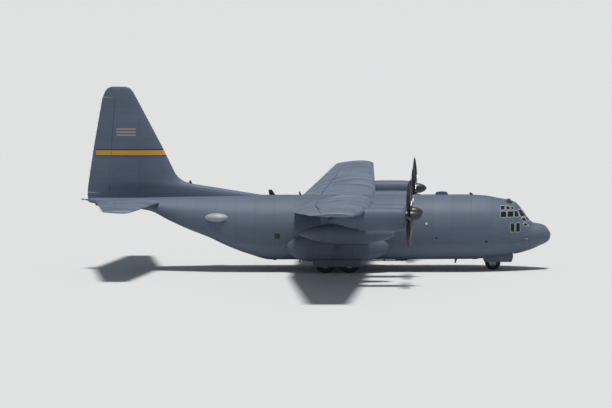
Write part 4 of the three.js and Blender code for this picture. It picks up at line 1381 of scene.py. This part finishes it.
class PLANE_OT_tanks(bpy.types.Operator):
    """Makes the fuel tank and its pylon under each wing."""

    bl_idname = "plane.tanks"
    bl_label = "Fuel tanks"

    # height, leading edge, trailing edge and half thickness of the pylon
    pylon = ((3300, -10700, -14250, 105), (3900, -11100, -14220, 105), (4480, -11500, -14200, 100))
    bands = np.array([0.2, 0.44, 0.6, 0.78])

    def tank(self, shape, y):
        shares = np.linspace(0, 1, 44) ** 1.6
        ahead, length = (1, 0, 0), size(TANK_LENGTH)
        shape.turned(list(zip(tank_radii(shares), -shares * length)), at(TANK_NOSE, y, TANK_Z), ahead, 56)
        for place, radius in zip(self.bands, tank_radii(self.bands)):
            low, high = radius - 0.002, radius + 0.0025
            band = [(low, -0.008), (high, -0.006), (high, 0.006), (low, 0.008)]
            shape.turned(band, at(TANK_NOSE - place * TANK_LENGTH, y, TANK_Z), ahead, 56, closed=True)

    def execute(self, context):
        for side, sign in SIDES:
            shape, y, rings = Shape(), sign * TANK_Y, []
            self.tank(shape, y)
            shares = np.linspace(0, 1, 20) ** 1.7
            for height, lead, trail, half in self.pylon:
                chord = lead - trail
                rise = half_thickness(shares, 2 * half / chord) * chord
                edge = list(zip(lead - shares * chord, rise))
                over, under = ([at(x, y + k * r, height) for x, r in edge] for k in (1, -1))
                rings.append(over + under[-2:0:-1])
            shape.loft(rings)
            shape.material = 1
            cap = [(0.032, 0.29), (0.032, 0.3045), (0.026, 0.3055)]
            shape.turned(cap, at(-11000, y, TANK_Z), (0, sign * 0.55, 0.83), 24)
            shape.tube([at(-15600, y, TANK_Z), at(-15760, y, TANK_Z - 10)], 0.006)
            name = f"fuel_tank_{side}"
            put(f"{name}_dressed", shape, "nacelle steel", "hull_paint", name)
        return {"FINISHED"}


# Landing gear

MAIN_WHEEL = {"radius": 0.355, "half": 0.1275, "rim": 0.19, "axle": 0.045, "bolts": 12}
MAIN_WHEEL_X = {"front": 1.1175, "rear": 0.3575}
NOSE_WHEEL = {"radius": 0.2475, "half": 0.0825, "rim": 0.12, "axle": 0.03, "bolts": 8}
NOSE_WHEEL_X = 5.6225


def tyre_profile(radius, half, rim_radius):
    """Half sections of radius and place across: bead, round shoulder and a tread with four grooves."""
    wall = radius - rim_radius
    near = [(rim_radius, 0.80), (rim_radius + 0.012, 0.90), (rim_radius + wall * 0.32, 0.98)]
    near += [(rim_radius + wall * 0.6, 1.0), (radius - 0.035, 0.97)]
    near += [(radius - 0.013, 0.88), (radius - 0.003, 0.76)]
    for groove in (0.5, 0.17):
        near += [(radius, groove + 0.035), (radius - 0.007, groove + 0.0245)]
        near += [(radius - 0.007, groove - 0.0245), (radius, groove - 0.035)]
    near = [(r, share * half) for r, share in near]
    return near + [(r, -w) for r, w in reversed(near)]


def wheel(name, centre, sign, kind, replaced, body=None):
    """A tyre, its rim with a dished outer side, and the bolts round the hub."""
    radius, half, r, axle, bolts = kind.values()
    across = (0, sign, 0)
    tyre = Shape()
    profile = tyre_profile(radius, half, r)
    tyre.turned(profile, centre, across, sizes().tyre_sides, closed=True)
    put(f"{name}_tyre", tyre, "tyre", "tyre_rubber", replaced, body)
    body = body or replaced
    # radius and place across, from the outer side's middle over the edge to the inner side's middle
    dish = [(0.0, 0.45), (r * 0.22, 0.45), (r * 0.26, 0.38), (r * 0.3, 0.3), (r * 0.55, 0.3)]
    dish += [(r * 0.72, 0.42), (r * 0.86, 0.66), (r * 0.93, 0.8), (r + 0.006, 0.84), (r + 0.008, 0.78)]
    dish += [(r, 0.7), (r, -0.7), (r + 0.008, -0.78), (r + 0.006, -0.84), (r * 0.93, -0.8)]
    dish += [(r * 0.9, -0.3), (axle, -0.25), (0.0, -0.25)]
    rim_shape = Shape()
    rim_shape.turned([(a, b * half) for a, b in dish], centre, across, 48)
    put(f"{name}_rim", rim_shape, "rim", "gear_steel", body=body)
    bolt, foot = Shape(), centre + Vector((0, sign * half * 0.28, r * 0.42))
    bolt.rod(foot, foot + Vector((0, sign * half * 0.14, 0)), r * 0.045, 6)
    turn = (0, 2 * math.pi / bolts, 0)
    repeated(f"{name}_bolts", bolt, "steel", "gear_steel", bolts, turn=turn, centre=centre, body=body)


def torque_links(shape, top, bottom, out, width=0.03):
    """Two links that meet in a knee beside a strut."""
    top, bottom, out = Vector(top), Vector(bottom), Vector((out, 0, 0))
    knee = (top + bottom) / 2 + out * 2.4
    ends = (top + out * 0.5, bottom + out * 0.5)
    across = Vector((0, width, 0))
    shape.rods(*[(end, knee, width * 0.34, 8, width * 0.26) for end in ends])
    shape.rods(*[(place - across, place + across, width * 0.36, 10) for place in (*ends, knee)])


def gear_door(sign, ends, steps, low, rise, y, bulge, thick, cut):
    """A gear door with a slight bulge, cut back towards its lower corners."""
    shape, rows = Shape(), []
    for share in np.linspace(0, 1, steps[0]):
        back, z = cut[0] * (1 - share) ** cut[1], low + share * rise
        out = y - bulge * (2 * share - 1) ** 2
        xs = np.linspace(ends[0] + back, ends[1] - back, steps[1])
        rows.append([(x, sign * out, z) for x in xs] + [(x, sign * (out - thick), z) for x in xs[::-1]])
    shape.sheet(rows)
    shape.material = 1
    return shape


class PLANE_OT_main_gear(bpy.types.Operator):
    """Makes the main landing gear: wheels, struts with their links and pipes, and the outer doors."""

    bl_idname = "plane.main_gear"
    bl_label = "Main landing gear"

    def leg(self, name, sign):
        shape = Shape()
        y, z = sign * 0.905, MAIN_WHEEL["radius"]
        for x, fore in zip(MAIN_WHEEL_X.values(), (1, -1)):
            shape.material = 0
            shape.rods(
                ((x, y, 0.43), (x, y, 0.635), 0.05, 28),
                ((x, y, 0.425), (x, y, 0.45), 0.058, 28),
                ((x, y, z - 0.055), (x, y, z + 0.03), 0.052, 24, 0.044),
                ((x, y, z), (x, sign * 0.985, z), 0.0375, 20),
            )
            shape.block((x - 0.055, y - sign * 0.035, 0.52), (x + 0.055, y - sign * 0.075, 0.6), 0.006)
            shape.material = 1
            shape.rod((x, y, z + 0.02), (x, y, 0.43), 0.036, 28)
            shape.material = 2
            torque_links(shape, (x, y, 0.46), (x, y, z + 0.02), fore * 0.05)
            pipe = [(x + 0.05, y, 0.6), (x + 0.056, y, 0.5)]
            pipe += [(x + 0.07, y + sign * 0.02, 0.44), (x + 0.04, y + sign * 0.05, z)]
            shape.tube(pipe, 0.005)
        shape.material = 0
        shape.block((0.41, y - 0.02, z - 0.028), (1.065, y + 0.02, z + 0.028), 0.01)
        put(f"{name}_dressed", shape, "enamel chrome steel", "gear_steel", name)

    def door(self, name, sign):
        x0, x1 = along(-14960), along(-11880)
        form = {"low": 0.2, "rise": 0.218, "y": 1.2645, "bulge": 0.012, "thick": 0.012, "cut": (0.05, 3)}
        shape = gear_door(sign, (x0, x1), (9, 20), **form)
        for x in np.linspace(x0 + 0.12, x1 - 0.12, 6):
            shape.block((x - 0.008, sign * 1.232, 0.225), (x + 0.008, sign * 1.25, 0.4), 0.003)
        for x in np.linspace(x0 + 0.25, x1 - 0.25, 3):
            strut = ((1.243, 0.33), (1.205, 0.42), (1.19, 0.5), (1.2, 0.56))
            shape.tube([(x, sign * y, z) for y, z in strut], 0.011)
        put(f"{name}_dressed", shape, "hull inside", "hull_paint", name)

    def execute(self, context):
        for side, sign in SIDES:
            for end, x in MAIN_WHEEL_X.items():
                name = f"main_wheel_{end}_{side}"
                wheel(name, Vector((x, sign * 1.0875, MAIN_WHEEL["radius"])), sign, MAIN_WHEEL, name)
            self.leg(f"main_gear_leg_{side}", sign)
            self.door(f"main_gear_door_outer_{side}", sign)
        return {"FINISHED"}


class PLANE_OT_nose_gear(bpy.types.Operator):
    """Makes the nose landing gear: twin wheels, fork, strut with its drag brace and lamps, and the doors."""

    bl_idname = "plane.nose_gear"
    bl_label = "Nose landing gear"

    door = {"low": 0.26, "rise": 0.235, "y": 0.3635, "bulge": 0.006, "thick": 0.01, "cut": (0.06, 2)}

    def steered(self, x, z):
        """The wheels, their axle and the fork."""
        for side, sign in SIDES:
            replaced = "nose_wheels" if sign > 0 else None
            centre = Vector((x, sign * 0.14, z))
            wheel(f"nose_wheel_{side}", centre, sign, NOSE_WHEEL, replaced, "nose_wheels")
        axle = Shape()
        axle.rod((x, -0.2, z), (x, 0.2, z), 0.028, 20)
        put("nose_axle", axle, "steel", "gear_steel", body="nose_wheels")
        fork = Shape()
        sleeve = [(0.035, -0.042), (0.052, -0.042), (0.052, 0.042), (0.035, 0.042)]
        fork.turned(sleeve, (x, 0, z), (0, 1, 0), closed=True)
        fork.rod((x, 0, z + 0.045), (x, 0, 0.36), 0.044, 24, 0.04)
        fork.material = 1
        fork.rod((x, 0, 0.35), (x, 0, 0.5), 0.033, 24)
        fork.material = 2
        torque_links(fork, (x, 0, 0.47), (x, 0, 0.31), -0.045, 0.024)
        name = "nose_gear_fork"
        put(f"{name}_dressed", fork, "enamel chrome steel", "gear_steel", name, "nose_fork")

    def leg(self, x):
        leg = Shape()
        leg.rods(
            ((x, 0, 0.508), (x, 0, 0.96), 0.052, 28),
            ((x, 0, 0.508), (x, 0, 0.545), 0.062, 28),
            ((x, -0.2, 0.93), (x, 0.2, 0.93), 0.026, 16),
            ((x, -0.028, 0.665), (x + 0.45, -0.07, 0.93), 0.018, 14),
            ((x, 0.028, 0.665), (x + 0.45, 0.07, 0.93), 0.018, 14),
            ((x + 0.45, -0.1, 0.93), (x + 0.45, 0.1, 0.93), 0.022, 16),
        )
        leg.material = 1
        leg.rods(*[((x + 0.02, y, 0.56), (x - 0.14, y, 0.56), 0.017, 14) for y in (-0.075, 0.075)])
        leg.tube([(x - 0.05, 0.02, 0.9), (x - 0.065, 0.02, 0.7), (x - 0.06, 0.03, 0.56)], 0.005)
        leg.material = 2
        lamp = [(0.012, -0.05), (0.036, -0.012), (0.04, 0.0), (0.037, 0.006), (0.0, 0.012)]
        for y in (-0.1, 0.1):
            leg.turned(lamp, (x + 0.06, y, 0.62), (1, 0, 0), 24)
        put("nose_gear_leg_dressed", leg, "enamel steel lens", "gear_steel", "nose_gear_leg")

    def execute(self, context):
        self.steered(NOSE_WHEEL_X, NOSE_WHEEL["radius"])
        self.leg(NOSE_WHEEL_X)
        for side, sign in SIDES:
            x0, x1 = along(-4300), along(-2360)
            shape = gear_door(sign, (x0, x1), (8, 14), **self.door)
            for x in np.linspace(x0 + 0.1, x1 - 0.1, 4):
                shape.block((x - 0.006, sign * 0.34, 0.28), (x + 0.006, sign * 0.352, 0.47), 0.002)
                strut = ((0.345, 0.42), (0.325, 0.48), (0.318, 0.52))
                shape.tube([(x, sign * y, z) for y, z in strut], 0.009, 8)
            name = f"nose_gear_door_{side}"
            put(f"{name}_dressed", shape, "hull inside", "hull_paint", name)
        return {"FINISHED"}


# Inside


class PLANE_OT_hold(bpy.types.Operator):
    """Fits out the hold: frames along its sides, a scuffed floor, roller rails, rings and folded seats."""

    bl_idname = "plane.hold"
    bl_label = "Hold"

    fore, aft = along(-5500), along(-17500)

    def sides(self, side, sign):
        """Frames from the floor to the shoulder, stringers between them and a row of folded seats."""
        count, rings = sizes().hold_frames, []
        for z in size(np.linspace(1080, 3700, 18)):
            outer, inner = (BODY.side_y(self.fore, z, sign, size(depth)) for depth in (74, 150))
            corners = ((0, outer), (0.02, outer), (0.02, inner), (0, inner))
            rings.append([(self.fore - back, y, z) for back, y in corners])
        frame = Shape()
        frame.loft(rings)
        run = (self.aft - self.fore) / (count - 1)
        repeated(f"hold_frames_{side}", frame, "inside", "interior_paint", count, (run, 0, 0))
        stringers = Shape()
        for z in size(np.arange(1500, 3501, 500)):
            xs = np.linspace(self.aft, along(-5200), 6)
            stringers.tube([(x, BODY.side_y(x, z, sign, size(90)), z) for x in xs], 0.007, 6)
        put(f"hold_stringers_{side}", stringers, "inside", "interior_paint")
        seat = Shape()
        x, y, z = along(-5900), sign * 0.86, 0.77
        seat.rod((x, y, z), (x - 0.44, y, z), 0.01, 8)
        seat.rod((x, y, z - 0.02), (x, sign * 0.69, 0.53), 0.007, 8)
        seat.block((x - 0.4, y - 0.012, z - 0.012), (x - 0.03, y + 0.012, z + 0.42), 0.004)
        repeated(f"hold_seats_{side}", seat, "strap", "interior_paint", 11, (-0.47, 0, 0))

    def floor(self):
        """Rollers between rails, and tie-down rings."""
        for k, y in enumerate((-0.42, -0.14, 0.14, 0.42)):
            roller, rail, x = Shape(), Shape(), along(-5000)
            roller.rod((x, y - 0.028, 0.536), (x, y + 0.028, 0.536), 0.013, 10)
            repeated(f"floor_rollers_{k + 1}", roller, "steel", "gear_steel", 60, (-0.103, 0, 0))
            for edge in (y - 0.034, y + 0.034):
                rail.block((self.aft, edge - 0.003, 0.521), (along(-4900), edge + 0.003, 0.545), 0.001)
            put(f"floor_rails_{k + 1}", rail, "steel", "gear_steel")
        for k, y in enumerate((-0.56, -0.28, 0.28, 0.56)):
            loop, points = Shape(), ring((along(-5200), y, 0.526), (0.02, 0, 0), (0, 0.02, 0), 12)
            loop.tube(points + points[:1], 0.004, 6)
            repeated(f"floor_rings_{k + 1}", loop, "chrome", "gear_steel", 24, (-0.254, 0, 0))

    def ramp(self):
        """Non-slip strips across the ramp and ribs in the cargo door."""
        slope = math.atan2(2040 - 1040, 20860 - 17690)
        strip = Shape()
        centre = at(-17900, 0, 1040 + 210 * math.tan(slope)) + Vector((0, 0, 0.004))
        reach = Vector((0.01, 0.66, 0.003))
        strip.block(centre - reach, centre + reach, 0.002, Matrix.Rotation(slope, 3, "Y"))
        step = (-0.14, 0, 0.14 * math.tan(slope))
        repeated("ramp_strips", strip, "rubber", "interior_paint", 10, step, body="cargo_ramp")
        ribs = Shape()
        for station in np.linspace(21300, 23900, 9):
            x, half = along(-station), size(1450 - (station - 20900) * 0.16) * 0.86
            ys = np.linspace(-half, half, 15)
            ribs.tube([(x, y, BODY.top_z(x, y, -1, size(128))) for y in ys], 0.012, 8)
        put("cargo_door_ribs", ribs, "inside", "interior_paint", body="cargo_door")

    def execute(self, context):
        new_finish("cargo_floor", "floor")
        for side, sign in SIDES:
            self.sides(side, sign)
        self.floor()
        self.ramp()
        return {"FINISHED"}


class PLANE_OT_cockpit(bpy.types.Operator):
    """Fits out the flight deck with columns, screens, levers and head rests, and finishes the engines."""

    bl_idname = "plane.cockpit"
    bl_label = "Flight deck"

    def execute(self, context):
        new_finish("flight_deck", "cabin")
        shape = Shape()
        for y in (520, -520):
            shape.tube([at(-2480, y, 2165), at(-2500, y, 2500), at(-2540, y, 2760)], 0.02, 12)
            grip = ((-150, 2880), (-150, 2760), (0, 2740), (150, 2760), (150, 2880))
            shape.tube([at(-2560, y + across, z) for across, z in grip], 0.012)
            shape.block(at(-3215, y - 130, 3240), at(-3150, y + 130, 3420), 0.015)
        for y in (-90, -30, 30, 90):
            shape.tube([at(-2520, y, 2750), at(-2500, y, 2880)], 0.006, 8)
            shape.ball(at(-2500, y, 2890), (0.012, 0.012, 0.012), 10)
        shape.block(at(-2900, -330, 3990), at(-2450, 330, 4040), 0.01)
        shape.material = 1
        for y in (-700, -350, 0, 350, 700):
            shape.block(at(-2345, y - 130, 2700), at(-2329, y + 130, 2960))
        put("flight_deck_fittings", shape, "cabin screen", "interior_paint")
        for place in ENGINES:
            for side, _ in SIDES:
                new_finish(f"engine_{place}_{side}", "steel")
        return {"FINISHED"}


# Fittings on the skin


def mound(shape, place, edges, height, shares, power, count):
    """A low rounded form over an ellipse within the edges. place gives a point for two values and a lift."""
    u0, u1, v0, v1 = edges
    rings = []
    for share in shares:
        middle, reach = ((u0 + u1) / 2, (v0 + v1) / 2, 0), share / 2
        flat = ring(middle, ((u1 - u0) * reach, 0, 0), (0, (v1 - v0) * reach, 0), count)
        rings.append([place(p.x, p.y, height * (1 - share**power) - 0.002) for p in flat])
    shape.loft(rings)


class PLANE_OT_fittings(bpy.types.Operator):
    """Adds aerials, probes, blisters, lamps, static wicks, hinge brackets and the knob under the tail."""

    bl_idname = "plane.fittings"
    bl_label = "Fittings"

    # x, height and chord of the blade aerials
    top_blades = ((-17620, 330, 380), (-15840, 210, 130), (-4980, 120, 240))
    belly_blades = (
        (-15860, 250, 110),
        (-15010, 150, 90),
        (-14240, 250, 110),
        (-10480, 150, 110),
        (-5960, 280, 150),
        (-13050, 150, 90),
    )
    # x range, half width, height and middle of the flat humps under the belly
    humps = (
        (-11600, -11230, 110, 90, 0),
        (-9900, -8920, 240, 130, 0),
        (-5060, -4480, 200, 70, 0),
        (-12400, -12180, 80, 60, 0),
        (-17570, -17330, 80, 60, -450),
        (-17570, -17330, 80, 60, 450),
    )
    bracket_places = (2700, 3900, 5100, 6500, 8800, 11100, 13400, 14900, 16700, 18600)

    def aerials(self):
        shape = Shape()
        for sign, rows, tip, sweep in ((1, self.top_blades, 0.6, 0.35), (-1, self.belly_blades, 0.65, 0.5)):
            for x, height, chord in rows:
                foot = (along(x), 0, BODY.top_z(along(x), 0, sign))
                shape.fin(foot, sign, size(height), size(chord), tip, sweep)
        top = FIN_FOIL.point(size(5470), 0)
        shape.fin((top.x - 0.06, 0, top.z - 0.02), 1, size(260), size(210), 0.45, 0.2)
        put("blade_aerials", shape, "rubber", "hull_paint")

    def hump(self, shape, x0, x1, half, height, y, sign=-1):
        """A low rounded fairing on the top or belly."""

        def place(x, y, lift):
            return x, y, BODY.top_z(x, y, sign) + sign * lift

        edges = (along(x0), along(x1), size(y - half), size(y + half))
        mound(shape, place, edges, size(height), (1.0, 0.97, 0.88, 0.7, 0.45, 0.2, 0.03), 3.2, 28)

    def all_humps(self):
        belly, ramp, roof = Shape(), Shape(), Shape()
        for row in self.humps:
            self.hump(belly, *row)
        self.hump(ramp, -20800, -20130, 260, 60, 0)
        for y in (-500, 500):
            self.hump(roof, -2800, -2420, 150, 120, y, 1)
        put("belly_humps", belly, "hull", "hull_paint")
        put("ramp_hump", ramp, "hull", "hull_paint", body="cargo_ramp")
        put("roof_sensors", roof, "rubber", "hull_paint")

    def blister(self, side, sign):
        """The observation blister on the aft body, with its rim. Its pale paint is a painted highlight."""

        def place(x, z, lift):
            return x, BODY.side_y(x, z, sign) + sign * lift, z

        shape = Shape()
        edges = (along(-21780), along(-20310), size(3210), size(3750))
        mound(shape, place, edges, 0.115, (1.0, 0.98, 0.92, 0.82, 0.66, 0.48, 0.28, 0.04), 2.4, 36)
        shape.material = 1
        rim(shape, side_surface(sign), (-21790, -20300, 3200, 3760), 268, 26, 5)
        put(f"side_blister_{side}", shape, "pale hull", "hull_paint")

    def probes(self):
        shape = Shape()
        for sign in (1, -1):
            surface = side_surface(sign)
            for foot in surface([(-1720, 2060), (-1720, 1900)], 10):
                bends = ((0, 0), (0, 0.05), (0.03, 0.065), (0.13, 0.066))
                shape.tube([foot + Vector((ahead, sign * out, 0)) for ahead, out in bends], 0.0065, 12)
            vane = surface([(-2050, 1750)], 6)[0]
            shape.turned([(0.03, 0), (0.03, 0.01), (0.02, 0.016)], vane, (0, sign, 0), 20)
        put("pitot_tubes", shape, "steel", "gear_steel")

    def lamp(self, name, colour, *balls):
        shape = Shape()
        for place, radii, sides in balls:
            shape.ball(place, radii, sides)
        put(name, shape, colour, "window_glass")

    def lamps(self):
        tip = WING_FOIL.point(size(20080), 0.16, 1, -0.012) + Vector((0.02, 0, -0.03))
        leads = [WING_FOIL.point(size(y), 0) - Vector((0.018, 0, 0)) for y in (3500, 15200)]
        for (side, sign), colour in zip(SIDES, ("red", "green")):
            place = (tip.x, sign * tip.y, tip.z)
            self.lamp(f"wing_tip_lamp_{side}", colour, (place, (0.06, 0.045, 0.022), 20))
            balls = [((p.x, sign * p.y, p.z), (0.022, 0.06, 0.026), 24) for p in leads]
            self.lamp(f"wing_landing_lamps_{side}", "lens", *balls)
        x = along(-9400)
        place = (x, 0, BODY.top_z(x, 0, -1) - size(125))
        self.lamp("belly_beacon", "red", (place, (0.03, 0.03, 0.022), 20))
        self.lamp("tail_lamp", "lens", (at(-29560, 0, 4475), (0.03, 0.032, 0.032), 20))

    def wicks(self, name, body, sign, foil, places, count):
        """A row of static wicks behind a trailing edge."""
        start, end = (foil.point(size(place), 0.995) for place in places)
        for point in (start, end):
            point.y *= sign
        shape = Shape()
        shape.rod(start + Vector((0.02, 0, 0)), start - Vector((0.085, 0, 0)), 0.0035, 6, 0.002)
        repeated(name, shape, "rubber", "hull_paint", count, (end - start) / (count - 1), body=body)

    def brackets(self, side, sign):
        """Slim fairings over the flap and aileron hinges under the wing."""
        shape = Shape()
        for y in map(size, self.bracket_places):
            rings = []
            for share in np.linspace(0.5, 0.69, 9):
                place = WING_FOIL.point(y, share, -1)
                swell = math.sin(math.pi * min((share - 0.5) / 0.19, 1) ** 0.7) + 0.05
                middle, tall = (place.x, sign * place.y, place.z + 0.004), 0.05 * swell * (1 - y / 18)
                rings.append(ring(middle, (0, 0.016 * swell, 0), (0, 0, tall), 12))
            shape.loft(rings)
        put(f"hinge_fairings_{side}", shape, "wing", "wing_paint")

    def execute(self, context):
        self.aerials()
        self.all_humps()
        for side, sign in SIDES:
            self.blister(side, sign)
        self.probes()
        self.lamps()
        for side, sign in SIDES:
            for part, foil, places, count in (
                ("aileron", WING_FOIL, (14200, 19400), 7),
                ("elevator", TAIL_FOIL, (1500, 7500), 8),
            ):
                self.wicks(f"{part}_wicks_{side}", f"{part}_{side}", sign, foil, places, count)
        self.wicks("rudder_wicks", "rudder", 0, FIN_FOIL, (6300, 10600), 8)
        for side, sign in SIDES:
            self.brackets(side, sign)
        knob, x = Shape(), along(-28780)
        knob.ball((x, 0, BODY.top_z(x, 0, -1) - 0.02), (0.07, 0.045, 0.05), 24)
        put("tail_warning_fairing", knob, "rubber", "hull_paint")
        return {"FINISHED"}


class PLANE_OT_stage(bpy.types.Operator):
    """Sets up the pale floor, the soft studio light and the camera."""

    bl_idname = "plane.stage"
    bl_label = "Stage, light and camera"

    def floor(self, scene):
        bm = bmesh.new()
        bmesh.ops.create_grid(bm, x_segments=1, y_segments=1, size=900)
        mesh = bpy.data.meshes.new("floor")
        bm.to_mesh(mesh)
        bm.free()
        ground = bpy.data.objects.new("floor", mesh)
        scene.collection.objects.link(ground)
        mesh.materials.append(Finish("pale_floor").surface((0.58, 0.59, 0.60), 0.9))

    def light(self, scene):
        """A sky that is as bright as the floor at the horizon and darker above, and a broad key light."""
        scene.world = bpy.data.worlds.new("studio")
        scene.world.use_nodes = True
        scene.world.node_tree.nodes.clear()
        studio = Tree(scene.world.node_tree)
        direction = studio.node("ShaderNodeTexCoord")
        height = studio.node("ShaderNodeSeparateXYZ", sockets={0: direction}, out=2)
        sockets = {0: height.fade(0.06, 0.14), 6: (0.76, 0.775, 0.78, 1), 7: (0.18, 0.20, 0.23, 1)}
        colour = studio.node("ShaderNodeMix", {"data_type": "RGBA"}, sockets, out=2)
        background = studio.node("ShaderNodeBackground", sockets={"Color": colour})
        studio.node("ShaderNodeOutputWorld", sockets={"Surface": background})
        key = bpy.data.lights.new("key", "SUN")
        key.energy, key.angle, key.color = 3.6, math.radians(10), (1.0, 0.97, 0.93)
        lamp = bpy.data.objects.new("key", key)
        lamp.rotation_mode = "QUATERNION"
        lamp.rotation_quaternion = Vector((-0.05, 0.14, -0.99)).to_track_quat("-Z", "Y")
        scene.collection.objects.link(lamp)

    def camera(self, scene):
        """A long lens fitted to the photograph, with its focal length and width in pixels."""
        focal, width, sensor = 3466, 612, 36
        camera = bpy.data.cameras.new("camera")
        camera.sensor_width = sensor
        camera.lens = focal / width * sensor
        camera.clip_start, camera.clip_end = 1, 3000
        eye = bpy.data.objects.new("camera", camera)
        azimuth, elevation, roll = map(math.radians, (2.84, 5.0, -0.35))
        level = math.cos(elevation)
        back = Vector((math.sin(azimuth) * level, -math.cos(azimuth) * level, math.sin(elevation)))
        eye.location = Vector((-0.2925, 0, 2.08)) + back * 110
        eye.rotation_mode = "QUATERNION"
        tilt = Matrix.Rotation(roll, 3, "Z").to_quaternion()
        eye.rotation_quaternion = (-back).to_track_quat("-Z", "Y") @ tilt
        scene.collection.objects.link(eye)
        scene.camera = eye

    def execute(self, context):
        self.floor(context.scene)
        self.light(context.scene)
        self.camera(context.scene)
        context.scene.view_settings.view_transform = "Standard"
        return {"FINISHED"}


class PLANE_PT_pieces(bpy.types.Panel):
    """Lists the aircraft's settings and the steps that dress it."""

    bl_idname = "PLANE_PT_pieces"
    bl_label = "Transport plane"
    bl_space_type = "VIEW_3D"
    bl_region_type = "UI"
    bl_category = "Plane"

    def draw(self, context):
        for group in (context.scene.plane_sizes, context.scene.plane_paint):
            for name in group.__annotations__:
                self.layout.prop(group, name)
        for operator in OPERATORS:
            self.layout.operator(operator.bl_idname)


OPERATORS = [
    PLANE_OT_stage,
    PLANE_OT_fuselage,
    PLANE_OT_wings,
    PLANE_OT_nacelles,
    PLANE_OT_windows,
    PLANE_OT_propellers,
    PLANE_OT_tanks,
    PLANE_OT_main_gear,
    PLANE_OT_nose_gear,
    PLANE_OT_hold,
    PLANE_OT_cockpit,
    PLANE_OT_fittings,
]
GROUPS = [PlanePaint, PlaneSizes]


def register():
    for thing in GROUPS + OPERATORS + [PLANE_PT_pieces]:
        bpy.utils.register_class(thing)
    bpy.types.Scene.plane_paint = PointerProperty(type=PlanePaint)
    bpy.types.Scene.plane_sizes = PointerProperty(type=PlaneSizes)


def unregister():
    del bpy.types.Scene.plane_sizes
    del bpy.types.Scene.plane_paint
    for thing in reversed(GROUPS + OPERATORS + [PLANE_PT_pieces]):
        bpy.utils.unregister_class(thing)


def main():
    register()
    make_materials()
    for operator in OPERATORS:
        group, name = operator.bl_idname.split(".")
        getattr(getattr(bpy.ops, group), name)()


if __name__ == "__main__":
    main()
